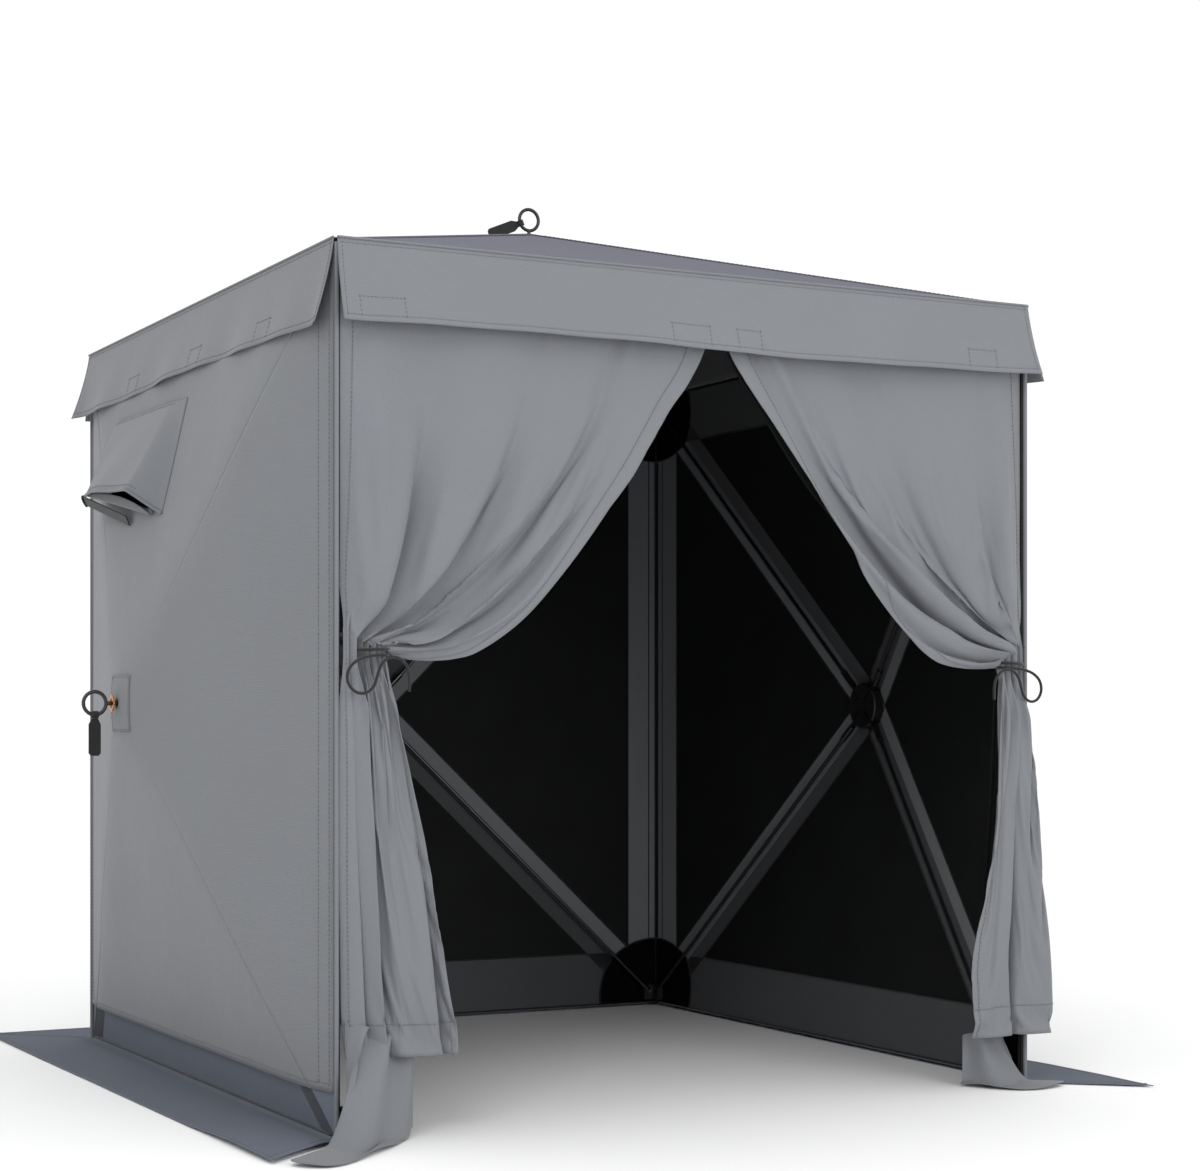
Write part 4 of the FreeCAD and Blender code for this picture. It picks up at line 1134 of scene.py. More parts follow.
@dataclass
class Valance:
    """One flared flap under the eaves, with double hems and hook-tape tabs."""

    name: str
    turn: int
    tabs: tuple[tuple[float, float], ...]
    stand_off: float = 0.014
    drop: float = 0.180
    flare: float = 0.040
    corner_slit: float = 0.007

    def places(self, along: np.ndarray, down: np.ndarray, out: float = 0.0) -> np.ndarray:
        """Places on the flap's face.

        Args:
            along: Along the eave, from -1 to 1.
            down: Down the flap, from 0 to 1, with negative values on the top return.
            out: How far outside the face.

        Returns:
            Points in the tent's axes.
        """
        half = HALF_SIDE + self.stand_off - self.corner_slit
        spread = HALF_SIDE + self.stand_off
        end = smooth_step(0.93, 1.0, np.abs(along))
        wave = (0.006 * np.sin(along * 9.4 + self.turn)
                + 0.004 * np.sin(along * 21.0 + 2 * self.turn))
        below = np.maximum(down, 0.0)
        stand = spread + self.flare * below**1.25 + (wave + 0.012 * end) * below**2 + out
        stand = stand + np.minimum(down, 0.0) * 0.018
        sag = 0.0045 * np.sin(along * 4.1 + 2.2 * self.turn) * below
        x = along * (half + 0.004 * below * end)
        z = EAVE - below * self.drop - sag
        flat = np.stack([stand, x, z], axis=-1)
        angle = math.radians(90 * self.turn)
        c, s = math.cos(angle), math.sin(angle)
        return np.stack([flat[..., 0] * c - flat[..., 1] * s,
                         flat[..., 0] * s + flat[..., 1] * c, flat[..., 2]], axis=-1)

    def line(self, start: Pair, end: Pair, count: int = 60) -> np.ndarray:
        """A straight seam on the flap between two (along, down) places."""
        run = np.linspace(start, end, count)
        return self.places(run[:, 0], run[:, 1], 0.0004)

    def build(self) -> None:
        """Builds the flap, its edge cord and its stitches."""
        along, down = np.meshgrid(np.linspace(-1, 1, 220),
                                  np.concatenate([[-1.0, -0.5], np.linspace(0, 1, 22)]))
        length = 2 * (HALF_SIDE + self.stand_off - self.corner_slit)
        cut = np.stack([along * length / 2, -down * self.drop], axis=-1)
        cloth = Cloth(self.places(along, down), cut).flipped()
        piece = cloth.piece(f"valance_{self.name}", Finish.COVER, 0.0018)
        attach(piece, "shelter")
        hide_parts("valances")
        edge = self.places(np.linspace(-1, 1, 240), np.full(240, 0.0), 0.0005)
        piping = tube(f"eave_piping_{self.name}", edge, 0.0028, Finish.COVER, 6)
        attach(piping, "shelter")
        inset, upper, lower, top = 0.989, 0.06, 0.93, 0.70
        lines = [self.line((-inset, level), (inset, level), 200) for level in (lower, upper)]
        for end in (-1, 1):
            lines.append(self.line((end * inset, upper), (end * inset, lower)))
        for middle, width in self.tabs:
            low, high = middle - width / 2, middle + width / 2
            lines += [self.line((low, lower), (low, top), 12),
                      self.line((low, top), (high, top), 24),
                      self.line((high, top), (high, lower), 12)]
        stitches = StitchLines.sew(f"valance_stitches_{self.name}", lines, "shelter", 0.009)
        log.info("%s valance", self.name)


# ---------------------------------------------------------------- vent hood


@dataclass
class VentHood:
    """The propped vent hood of the left cover: it stands open at its far end, where a stiff
    strip props it, and its near end lies on the cover."""

    cover: Cover
    width: float = 0.560
    centre: float = 0.190
    top: float = 1.689
    length: float = 0.262
    open_deg: float = 12.5
    bow: float = 0.016
    stand_off: float = 0.007

    def axes(self) -> tuple[np.ndarray, np.ndarray, np.ndarray, np.ndarray]:
        """The hood's hinge middle and its axes: across, down along it, and out of it."""
        cover = self.cover
        slope = math.atan2(cover.rise - cover.edge_gap, cover.top - HUB_HEIGHT)
        share = (cover.top - self.top) / (cover.top - HUB_HEIGHT)
        out = cover.edge_gap + (cover.rise - cover.edge_gap) * share + self.stand_off
        angle = slope + math.radians(self.open_deg)
        origin = np.array([-HALF_SIDE - out, self.centre, self.top])
        down = np.array([-math.sin(angle), 0.0, -math.cos(angle)])
        across = np.array([0.0, -1.0, 0.0])
        outward = np.array([-math.cos(angle), 0.0, math.sin(angle)])
        return origin, across, down, outward

    def places(self, across: np.ndarray, down: np.ndarray, out: float = 0.0) -> np.ndarray:
        """Places on the hood from (-1..1) across and (0..1) down."""
        origin, side, fall, outward = self.axes()
        flush = smooth_step(0.62, 1.0, across)
        reach = down * (self.length - 0.026 + 0.020 * across + 0.056 * flush)
        arch = self.bow * down * (1 - across**2) + 0.004 * np.sin(across * 5 + down * 4) * down
        free = (origin + np.multiply.outer(across * self.width / 2 * (1 - 0.03 * down), side)
                + np.multiply.outer(reach, fall) + np.multiply.outer(arch + 0.003 + out, outward))
        rest = -HALF_SIDE - self.cover.height(-free[..., 1], free[..., 2]) - 0.0022 - out
        free[..., 0] = free[..., 0] * (1 - flush) + rest * flush
        return free

    def build(self) -> None:
        """Builds the hood over the vent, its far gusset, the vent's net, sill and stay."""
        across, down = np.meshgrid(np.linspace(-1, 1, 60), np.linspace(0, 1, 40))
        cut = np.stack([across * self.width / 2, -down * self.length], axis=-1)
        roof = Cloth(self.places(across, down), cut)
        roof = roof.flipped() if not self.faces_out(roof) else roof
        piece = roof.piece("hood_cloth", Finish.COVER, 0.0022)
        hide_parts("vent_hood")
        edge = np.linspace(-1, 1, 80)
        lip = tube("hood_lip", self.places(edge, np.full(80, 1.0), 0.0), 0.0042, Finish.COVER, 8)
        for made in (piece, lip):
            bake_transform(made)
        gusset = self.gusset().piece("hood_gusset_far", Finish.COVER, 0.0014)
        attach(gusset, "left_upper_cloth")
        lines = [self.places(edge * 0.85 - 0.12, np.full(80, place), 0.0004)
                 for place in (0.94, 0.03)]
        StitchLines.sew("hood_stitches", lines, "vent_hood_body", 0.009)
        self.vent()
        log.info("vent hood")

    def on_cover(self, y: np.ndarray, z: np.ndarray, out: float) -> np.ndarray:
        """Places on the left cover's face, a distance out of it."""
        return np.stack([-HALF_SIDE - self.cover.height(-y, z) - out, y, z], axis=-1)

    def strip(self, name: str, upper: np.ndarray, lower: np.ndarray, finish: Finish,
              thickness: float, body: str, rows: int = 8) -> bpy.types.Object:
        """A strip between two edges.

        Args:
            name: Its name.
            upper: Its upper edge.
            lower: Its lower edge, with as many places.
            finish: Its finish.
            thickness: In metres.
            body: The body it rides on.
            rows: Places across it.

        Returns:
            The piece.
        """
        share = np.linspace(0, 1, rows)[:, None, None]
        points = upper[None] * (1 - share) + lower[None] * share
        wide = np.linspace(0, 1, rows)[:, None] * 0.03
        along = np.linspace(0, self.width, upper.shape[0])[None, :]
        cut = np.stack(np.broadcast_arrays(along, -wide), axis=-1)
        cloth = Cloth(points, cut)
        piece = (cloth if self.faces_out(cloth) else cloth.flipped()).piece(name, finish, thickness)
        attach(piece, body)
        return piece

    def vent(self) -> None:
        """Builds what shows under the hood: the vent's black net, its cloth sill and the stay."""
        share = np.linspace(0, 1, 50)
        y = 0.40 + (0.03 - 0.40) * share
        net = self.strip("vent_net", self.on_cover(y, np.full(50, 1.60), 0.005),
                         self.on_cover(y, 1.470 - 0.045 * share, 0.005), Finish.POCKET, 0.001,
                         "left_upper_cloth", 12)
        far, near = np.array([-1.074, 0.462, 1.493]), np.array([-1.048, -0.020, 1.406])
        edge = far + (near - far) * share[:, None]
        seat = self.on_cover(edge[:, 1], edge[:, 2] + 0.012, 0.006)
        top = edge + np.array([0.004, 0.0, 0.024]) * np.sin(math.pi * share)[:, None] ** 0.7
        sill = self.strip("hood_sill", top, edge, Finish.COVER, 0.0016, "left_upper_cloth")
        floor = self.strip("hood_sill_inside", seat, edge + np.array([0.002, 0.0, 0.001]),
                           Finish.COVER, 0.0012, "left_upper_cloth")
        start, end = np.array([-1.077, 0.464, 1.491]), np.array([-1.058, 0.150, 1.416])
        bar = start + (end - start) * share[:, None]
        turn = np.array([[0.010, 0.0, -0.024]]) * np.ones((50, 1))
        stay = self.strip("hood_prop_strip", bar, bar + turn, Finish.PROP, 0.003, "vent_hood_body")
        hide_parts("hood_stay")
        along = (end - start) / np.linalg.norm(end - start)
        middle, radius = start + turn[-1] / 2, np.linalg.norm(turn[-1]) / 2
        round_end = np.array([middle - along * radius * math.cos(a) + turn[-1] / 2 * math.sin(a)
                              for a in np.linspace(-math.pi / 2, math.pi / 2, 20)])
        rim = tube("hood_prop_rim", round_end, 0.0038, Finish.BINDING, 8)
        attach(rim, "vent_hood_body")

    @staticmethod
    def faces_out(cloth: Cloth) -> bool:
        """Whether the net's face looks towards -X."""
        p = cloth.points
        return float(np.cross(p[1, 0] - p[0, 0], p[0, 1] - p[0, 0])[0]) > 0

    def gusset(self) -> Cloth:
        """The hood's far side wall, from its edge back to the cover's face."""
        down = np.linspace(0, 1, 24)
        edge = self.places(np.full(24, -1.0), down, -0.002)
        foot = self.on_cover(edge[:, 1], edge[:, 2], 0.001)
        share = np.linspace(0, 1, 10)[:, None, None]
        belly = np.sin(math.pi * share) * np.array([0.0, 0.006, 0.0]) * down[None, :, None]
        points = foot[None] + (edge - foot)[None] * share + belly
        cut = np.stack(np.meshgrid(down * self.length, np.linspace(0, 0.1, 10)), axis=-1)
        return Cloth(points, cut)


# ---------------------------------------------------------------- front door


def through(points: Sequence[Pair], count: int) -> np.ndarray:
    """Evenly spaced places on a smooth curve through a few points (Catmull-Rom)."""
    given = np.asarray(points, float)
    padded = np.vstack([2 * given[0] - given[1], given, 2 * given[-1] - given[-2]])
    fine = []
    for k in range(len(given) - 1):
        a, b, c, d = padded[k:k + 4]
        t = np.linspace(0, 1, 24, endpoint=k == len(given) - 2)[:, None]
        fine.append(0.5 * (2 * b + (c - a) * t + (2 * a - 5 * b + 4 * c - d) * t**2
                           + (3 * b - a - 3 * c + d) * t**3))
    fine = np.vstack(fine)
    length = run_lengths(fine)
    even = np.linspace(0, length[-1], count)
    return np.stack([np.interp(even, length, fine[:, k]) for k in range(given.shape[1])], axis=1)


@dataclass(frozen=True)
class Crease:
    """A sharp valley between two broad folds of gathered cloth.

    Its path gives its place across the cloth, from 0 at the outer edge to 1 at the inner,
    by how far down it is: 0 at the head, 1 at the tie and 2 at the hem.
    """

    path: tuple[Pair, ...]
    depth: float = 1.0
    wide: float = 0.10

    def profile(self, u: np.ndarray, level: np.ndarray,
                lean: float) -> tuple[np.ndarray, np.ndarray]:
        """The crease's shape.

        Args:
            u: Places across the cloth.
            level: How far down they are.
            lean: The side that the valley opens to, 1 or -1.

        Returns:
            How far the cloth sinks and how far the fold beside it hangs over, as shares.
        """
        down, across = np.array(self.path).T
        offset = lean * (u - np.interp(level, down, across)) / self.wide
        shown = self.depth * smooth_step(down[0], down[0] + 0.45, level)
        if down[-1] < 2:
            shown = shown * (1 - smooth_step(down[-1] - 0.45, down[-1], level))
        sink = np.where(offset < 0, np.exp(-(offset / 0.45) ** 2), np.exp(-(offset / 1.15) ** 2))
        return shown * sink, shown * np.exp(-((offset + 0.55) / 0.5) ** 2)


@dataclass
class Drape:
    """Cloth hung from the door's head, gathered at a tie and falling in pleats.

    Distances across are from the door's middle towards its corner, so one description
    serves both halves. In every row the folds are as deep as it takes to use up the cloth's
    width, up to a limit. That shape is the start of a short cloth simulation without
    collisions. Its rest lengths are those of the gathered start, with a little slack down it;
    no separate flat cut enters it.
    """

    name: str
    side: int
    inner: tuple[Pair, ...]
    knot: Pair
    levels: tuple[tuple[float, float, float], ...]
    creases: tuple[Crease, ...]
    finish: Finish
    front: float = -0.920
    outer: float = 0.916
    head: float = 1.924
    width: float = 0.93
    slack: float = 0.01
    deepest: float = 0.066
    waist: Pair = (0.100, 0.050)
    waist_back: float = -0.908
    inset: float = 0.014
    seed: float = 0.0
    rows_above: int = 90
    rows_tied: int = 8
    rows_below: int = 88
    columns: int = 132
    frames: int = 16
    mass: float = 0.02
    stretch: float = 30.0
    squeeze: float = 30.0
    shear: float = 1.0
    bending: float = 0.3

    def profile(self, u: np.ndarray, level: np.ndarray) -> tuple[np.ndarray, np.ndarray]:
        """All creases together, as each one's profile."""
        sink, push = np.zeros(np.broadcast(u, level).shape), 0.0
        for crease in self.creases:
            one, two = crease.profile(u, level, -self.side)
            sink = np.maximum(sink, one)
            push = push + two
        return sink, -self.side * push

    def folded(self, flat: np.ndarray, u: np.ndarray, level: np.ndarray, back: np.ndarray,
               most: np.ndarray) -> np.ndarray:
        """Puts the folds on a flat net, deep enough to use up the cloth's width in each row.

        Args:
            flat: Places (across, height) of the net.
            u: Places across the cloth.
            level: How far down each row is.
            back: How far forward the deepest valleys lie, by row.
            most: The deepest folds allowed, by row.

        Returns:
            The net's places (across, depth, height).
        """
        sink, push = self.profile(u, level)
        drift = noise_over(np.stack(np.broadcast_arrays(u, level), axis=-1), (3.0, 2.5), self.seed)
        rise = (1 - sink - 0.10 * drift) * smooth_step(-0.03, 0.17, u)
        along = np.gradient(flat, axis=1)
        along = along / np.maximum(np.linalg.norm(along, axis=2, keepdims=True), 1e-9)
        low, high = np.full(most.shape, 0.004), most.copy()
        for _ in range(9):
            middle = (low + high) / 2
            places = flat + along * (push * middle * 0.38)[..., None]
            points = np.stack([places[..., 0], back - middle * rise, places[..., 1]], axis=-1)
            length = np.linalg.norm(np.diff(points, axis=1), axis=2).sum(axis=1)[:, None]
            low = np.where(length < self.width, middle, low)
            high = np.where(length < self.width, high, middle)
        return points

    def tied(self, u: np.ndarray) -> np.ndarray:
        """The cloth inside the tie, as (across, depth): folds within a round cord."""
        sink, push = self.profile(u, np.ones(1))
        share = 0.5 - u - 0.05 * push
        bulge = np.sqrt(np.clip(1 - (2 * share) ** 2 * 0.8, 0.05, 1))
        return np.stack([self.knot[0] + self.inset + self.waist[0] * share,
                         self.waist_back - self.waist[1] * bulge * (1 - 0.8 * sink)], axis=-1)

    def drawn_in(self, points: np.ndarray, near: np.ndarray) -> np.ndarray:
        """Draws the gathered cloth into the tie and sets it on its side of the door.

        Args:
            points: The net's places (across, depth, height).
            near: How far each row has been drawn in, from 0 to 1 at the tie.

        Returns:
            The net's places in the tent's axes.
        """
        tie = self.tied(np.linspace(0, 1, self.columns))
        points[..., :2] = points[..., :2] * (1 - near[..., None]) + tie[None] * near[..., None]
        return points * np.array([self.side, 1.0, 1.0])

    def above(self) -> np.ndarray:
        """The gathered cloth from the door's head to the tie."""
        u = np.linspace(0, 1, self.columns)[None, :]
        v = np.linspace(0, 1, self.rows_above)[:, None]
        knot_a, knot_z = self.knot
        outer = through([(self.outer, self.head), (self.outer, 1.55), (self.outer, 1.25),
                         (self.outer - 0.003, knot_z + 0.09),
                         (knot_a + self.inset + self.waist[0] * 0.5, knot_z + 0.03)], self.rows_above)
        inner = through([*self.inner, (knot_a + self.inset - self.waist[0] * 0.5, knot_z + 0.012)],
                        self.rows_above)
        flat = outer[:, None, :] + (inner - outer)[:, None, :] * u[..., None]
        flat[..., 1] -= 0.022 * np.sin(math.pi * u) * np.sin(math.pi * v) ** 1.5
        most = 0.006 + (self.deepest - 0.006) * smooth_step(0.02, 0.70, v)
        points = self.folded(flat, u, v, np.full(v.shape, self.front + 0.008), most)
        return self.drawn_in(points, smooth_step(0.84, 1.0, v))

    def below(self) -> np.ndarray:
        """The gathered cloth from the tie to the hem, between its inner and outer outlines."""
        u = np.linspace(0, 1, self.columns)[None, :]
        v = np.linspace(0, 1, self.rows_below)[:, None]
        smooth = through(sorted(self.levels, reverse=True), self.rows_below)
        z, inner, outer = (smooth[:, k][:, None] for k in range(3))
        flat = np.stack([outer + (inner - outer) * u, np.broadcast_to(z, (len(z), self.columns))],
                        axis=-1)
        most = np.full(v.shape, self.deepest)
        points = self.folded(flat, u, 1 + v, np.full(v.shape, self.front + 0.006), most)
        return self.drawn_in(points, 1 - smooth_step(0.0, 0.14, v))

    def net(self) -> Cloth:
        """The whole gathered cloth, head to hem, laid flat by its own lengths for the weave."""
        upper, lower = self.above(), self.below()
        merge = np.linspace(0, 1, self.rows_tied)[:, None, None]
        bridge = upper[-1][None] * (1 - merge) + lower[0][None] * merge
        points = np.concatenate([upper[:-1], bridge, lower[1:]])
        steps = np.linalg.norm(np.diff(points, axis=0), axis=2) * (1 + self.slack)
        down = np.concatenate([np.zeros((1, points.shape[1])), np.cumsum(steps, axis=0)])
        pitch = np.linalg.norm(np.diff(points, axis=1), axis=2)
        across = np.concatenate([np.zeros((len(points), 1)), np.cumsum(pitch, axis=1)], axis=1)
        return Cloth(points, np.stack([across, -down], axis=-1))

    def settle(self, start: Cloth) -> Cloth:
        """Simulates the cloth from its gathered shape, held at its head, its tie and its hem.

        Args:
            start: The gathered cloth; laid flat by its own lengths it gives the rest lengths.

        Returns:
            The cloth as it hangs.
        """
        rows, columns = start.points.shape[:2]
        index = np.arange(rows * columns).reshape(rows, columns)
        piece = make_mesh(f"{self.name}_settling", start.points.reshape(-1, 3),
                          grid_quads(rows, columns).tolist(), self.finish)
        piece.shape_key_add(name="gathered")
        flat = piece.shape_key_add(name="cut")
        cut = np.zeros((rows * columns, 3))
        cut[:, 0::2] = start.cut.reshape(-1, 2)
        flat.data.foreach_set("co", cut.ravel())
        held = piece.vertex_groups.new(name="held")
        tie = range(self.rows_above - 1, self.rows_above - 1 + self.rows_tied)
        for row in (0, 1, *tie, rows - 1):
            held.add(index[row].tolist(), 1.0, "REPLACE")
        modifier = piece.modifiers.new("settle", "CLOTH")
        modifier.collision_settings.use_collision = False
        modifier.point_cache.frame_end = self.frames
        for name, value in (("quality", 6), ("mass", self.mass), ("air_damping", 1.0),
                            ("tension_stiffness", self.stretch),
                            ("compression_stiffness", self.squeeze),
                            ("shear_stiffness", self.shear), ("bending_stiffness", self.bending),
                            ("vertex_group_mass", held.name), ("rest_shape_key", flat)):
            setattr(modifier.settings, name, value)
        scene = bpy.context.scene
        for number in range(1, self.frames + 1):
            scene.frame_set(number)
        hanging = bpy.data.meshes.new_from_object(
            piece.evaluated_get(bpy.context.evaluated_depsgraph_get()))
        places = np.zeros(rows * columns * 3)
        hanging.vertices.foreach_get("co", places)
        bpy.data.objects.remove(piece)
        bpy.data.meshes.remove(hanging)
        scene.frame_set(1)
        points = places.reshape(rows, columns, 3)
        points[..., 1] = np.minimum(points[..., 1], self.waist_back + 0.004)
        return Cloth(points, start.cut)

    def build(self, replaces: str, slot: str, thickness: float = 0.0016) -> Cloth:
        """Builds the cloth.

        Args:
            replaces: The CAD node that it stands for.
            slot: The record's material slot; not used.
            thickness: In metres.

        Returns:
            Its net of points.
        """
        cloth = self.net()
        if self.frames:
            cloth = self.settle(cloth)
        facing = cloth if self.side > 0 else cloth.flipped()
        piece = facing.piece(self.name, self.finish, thickness)
        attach(piece, "shelter")
        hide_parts(replaces)
        # The length is worked out from the hanging mesh's own area; it isn't the cloth's cut.
        cloth.area() / self.width * 1.02
        log.info("%s: %.2f square metres", self.name, cloth.area())
        return cloth


@dataclass
class Curtain(Drape):
    """A privacy curtain with a stitched hem band down its inner edge and along its foot."""

    hem_band: float = 0.055

    def stitches(self, cloth: Cloth) -> None:
        """Sews the hem lines that show on the curtain's face.

        Args:
            cloth: The curtain's net.
        """
        p = cloth.points
        column = int(self.columns * (1 - self.hem_band / self.width))
        normal = np.array([0.0, -0.0012, 0.0])
        lines = [p[6:, column] + normal, p[6:, 5] + normal, p[-8] + normal]
        StitchLines.sew(f"{self.name}_stitches", lines, "shelter", 0.010)


@dataclass
class DoorFlap:
    """The door's ground flap, carried aside with the curtain and spilled on the ground."""

    name: str
    side: int
    outline: tuple[Pair, ...]
    root: tuple[Pair, Pair]
    top: float
    folds: int
    finish: Finish = Finish.CURTAIN
    seed: float = 0.0

    def build(self) -> None:
        """Builds the flap as cloth that slides down from the bundle and out along the ground."""
        columns, rows = 120, 70
        edge = through(self.outline, columns)
        u = np.linspace(0, 1, columns)[None, :]
        v = np.linspace(0, 1, rows)[:, None]
        (a0, y0), (a1, y1) = self.root
        root = np.stack([a0 + (a1 - a0) * u[0], y0 + (y1 - y0) * u[0]], axis=1)
        out = v**1.15
        flat = root[None] * (1 - out[..., None]) + edge[None] * out[..., None]
        fall = self.top * (1 - smooth_step(0.0, 0.62, v)) * (1 - 0.25 * u)
        wave = np.sin(2 * math.pi * self.folds * u + 1.3 * v + self.seed)
        lift = 0.016 * (0.5 + 0.5 * wave) * smooth_step(0.1, 0.6, v) * (1 - 0.55 * v)
        z = 0.004 + fall + lift
        flat = flat + 0.016 * (1 - v[..., None]) * np.stack(
            [np.broadcast_to(wave * 0.3, fall.shape), np.broadcast_to(wave, fall.shape)], axis=-1)
        points = np.stack([self.side * flat[..., 0], flat[..., 1], z], axis=-1)
        steps = np.linalg.norm(np.diff(points, axis=0), axis=2)
        down = np.concatenate([np.zeros((1, columns)), np.cumsum(steps, axis=0)])
        cloth = Cloth(points, np.stack([np.broadcast_to(u * 0.6, down.shape), -down], axis=-1))
        facing = cloth if self.side > 0 else cloth.flipped()
        piece = facing.piece(self.name, self.finish, 0.0016)
        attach(piece, "shelter")
        # The length is worked out from the mesh's own area; it isn't the cloth's cut.
        log.info("%s", self.name)


# ---------------------------------------------------------------- ground, cords, hardware


@dataclass
class GroundFlap:
    """A flap of heavy cloth that lies on the ground outside a wall."""

    name: str
    outline: tuple[Pair, Pair, Pair, Pair]
    seed: float

    def build(self) -> None:
        """Builds the flap: inner edge at the wall, outer edge free and slightly wavy."""
        rows, columns = 40, 150
        inner0, inner1, outer1, outer0 = (np.array(p, float) for p in self.outline)
        u = np.linspace(0, 1, columns)[None, :, None]
        v = np.linspace(0, 1, rows)[:, None, None]
        inner = inner0 + (inner1 - inner0) * u
        outer = outer0 + (outer1 - outer0) * u
        flat = inner + (outer - inner) * v
        slack = noise_over(flat, (4.0, 4.0), self.seed)
        swell = noise_over(flat, (1.6, 1.6), self.seed + 9)
        outward = v[..., 0]
        rise = np.maximum(0, swell + 0.35 * slack) * smooth_step(0.0, 0.3, outward)
        rise = 0.0035 + 0.010 * rise + 0.006 * smooth_step(0.12, 0.0, outward)
        points = np.concatenate([flat, rise[..., None]], axis=-1)
        cloth = Cloth(points, flat)
        normal = np.cross(points[1, 0] - points[0, 0], points[0, 1] - points[0, 0])
        cloth = cloth if normal[2] < 0 else cloth.flipped()
        piece = cloth.piece(f"ground_flap_{self.name}", Finish.FLAP, 0.0016)
        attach(piece, "shelter")
        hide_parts("ground_flaps")
        area = cloth.area()
        lines = [line + np.array([0, 0, 0.0006])
                 for line in (points[-3], points[3:, 2], points[3:, -3])]
        StitchLines.sew(f"flap_stitches_{self.name}", lines, "shelter", 0.012)
        log.info("ground flap %s", self.name)


@dataclass
class TieCord:
    """A cord from the corner seam round the curtain's waist, tied in a bow."""

    side: int
    knot: Point
    wrap_radius: float = 0.046
    pitch: float = 0.012
    diameter: float = 0.007
    corner_height: float = 1.088
    bow: tuple[Point, ...] = (
        (0.024, 0.003, -0.004), (0.048, 0.006, -0.012), (0.068, 0.008, -0.030),
        (0.072, 0.009, -0.057), (0.056, 0.011, -0.080), (0.030, 0.013, -0.084),
        (0.010, 0.014, -0.068), (0.003, 0.014, -0.042), (-0.006, 0.014, -0.018),
        (-0.026, 0.013, -0.003), (-0.052, 0.011, -0.006), (-0.070, 0.009, -0.026),
        (-0.075, 0.008, -0.052), (-0.073, 0.007, -0.078),
    )

    @property
    def name(self) -> str:
        """The cord's CAD node."""
        return f"tie_cord_{'left' if self.side < 0 else 'right'}"

    def route(self) -> list[Point]:
        """The cord's route, as the part's source gives it."""
        x, y, z = self.knot
        places = [(self.side * 0.913, -0.926, self.corner_height)]
        for turned in range(30, 631, 30):
            angle = math.radians(turned)
            sink = self.pitch * ((turned - 30) / 360 - 0.5)
            places.append((x + self.side * self.wrap_radius * math.cos(angle),
                           y + self.wrap_radius * math.sin(angle), z - sink))
        fx, fy, fz = places[-1]
        places += [(fx + self.side * a, fy - b, fz + c) for a, b, c in self.bow]
        return places

    def build(self) -> None:
        """Builds the cord, which ends in its bow."""
        line = bpy.data.curves.new(self.name + "_braid", "CURVE")
        line.dimensions = "3D"
        line.bevel_depth = self.diameter / 2
        line.bevel_resolution = 3
        line.use_fill_caps = True
        spline = line.splines.new("NURBS")
        route = self.route()
        spline.points.add(len(route) - 1)
        for point, place in zip(spline.points, route):
            point.co = (*place, 1.0)
        spline.order_u = 3
        spline.use_endpoint_u = True
        spline.resolution_u = 8
        piece = put(self.name + "_braid", line)
        line.materials.append(Finish.CORD.get())
        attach(piece, "shelter")
        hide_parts(self.name)
        log.info("%s", self.name)


class Hardware:
    """The hard parts that stay as the CAD made them, in better finishes."""

    FINISHES = (("hub_", Finish.HUB), ("pull_ring_", Finish.RING), ("strap_", Finish.WEBBING),
                ("pole_", Finish.POLE), ("lower_corner_sockets", Finish.HUB),
                ("upper_corner_sockets", Finish.HUB), ("corner_seams", Finish.COVER))
    GROMMET_BACK = 0.2218
    GROMMET_FRONT = 0.2258
    GROMMET_BORE = 0.0095

    @classmethod
    def dress(cls) -> None:
        """Gives every hard CAD node its finish, and the grommets their copper."""
        for name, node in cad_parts.items():
            for start, finish in cls.FINISHES:
                if name.startswith(start):
                    node.data.materials.clear()
                    node.data.materials.append(finish.get())
            if name.startswith("pull_ring_") and name != "pull_ring_roof":
                wall = {"left": LEFT, "back": BACK, "right": RIGHT}[name.removeprefix("pull_ring_")]
                cls.copper(node, wall)
        log.info("hardware")

    @classmethod
    def copper(cls, node: bpy.types.Object, panel: PanelAxes) -> None:
        """Finishes the grommet's faces, which are the second solid of a wall's ring node.

        Args:
            node: The ring's node.
            panel: The wall that it is on.
        """
        node.data.materials.append(Finish.GROMMET.get())
        outward, origin = np.array(panel.outward), np.array(panel.origin)
        for face in node.data.polygons:
            places = np.array([node.data.vertices[v].co for v in face.vertices]) - origin
            out = places @ outward
            level = places[:, 2] - HUB_HEIGHT
            round_axis = np.hypot(places @ np.array(panel.across), level)
            if (out.min() > cls.GROMMET_BACK and out.max() < cls.GROMMET_FRONT
                    and round_axis.min() > cls.GROMMET_BORE):
                face.material_index = 1


class CornerTape:
    """The taped inside corners of the tent, behind the edges of the netting."""

    CORNER = 0.9175
    REACH = 0.884
    FRONT_REACH = 0.912
    FOOT = 0.004
    HEAD = 1.930

    @classmethod
    def build(cls) -> None:
        """Builds the four upright tapes."""
        parts = []
        for x_sign in (-1, 1):
            for y_sign in (-1, 1):
                line = [(cls.REACH, cls.CORNER), (cls.CORNER, cls.CORNER), (cls.CORNER, cls.REACH)]
                if y_sign < 0:
                    line = [(cls.CORNER, cls.REACH), (cls.CORNER, cls.CORNER),
                            (cls.FRONT_REACH, cls.CORNER)]
                places = [(x_sign * a, y_sign * b, z) for z in (cls.FOOT, cls.HEAD)
                          for a, b in line]
                faces = [(0, 1, 4, 3), (1, 2, 5, 4)]
                part = make_mesh("corner_tape_part", np.array(places), faces, Finish.BINDING,
                                 smooth=False)
                thicken(part, 0.001)
                part.modifiers[0].offset = 0.0
                parts.append(part)
        tape = joined("corner_tapes", parts)
        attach(tape, "shelter")


# ---------------------------------------------------------------- studio


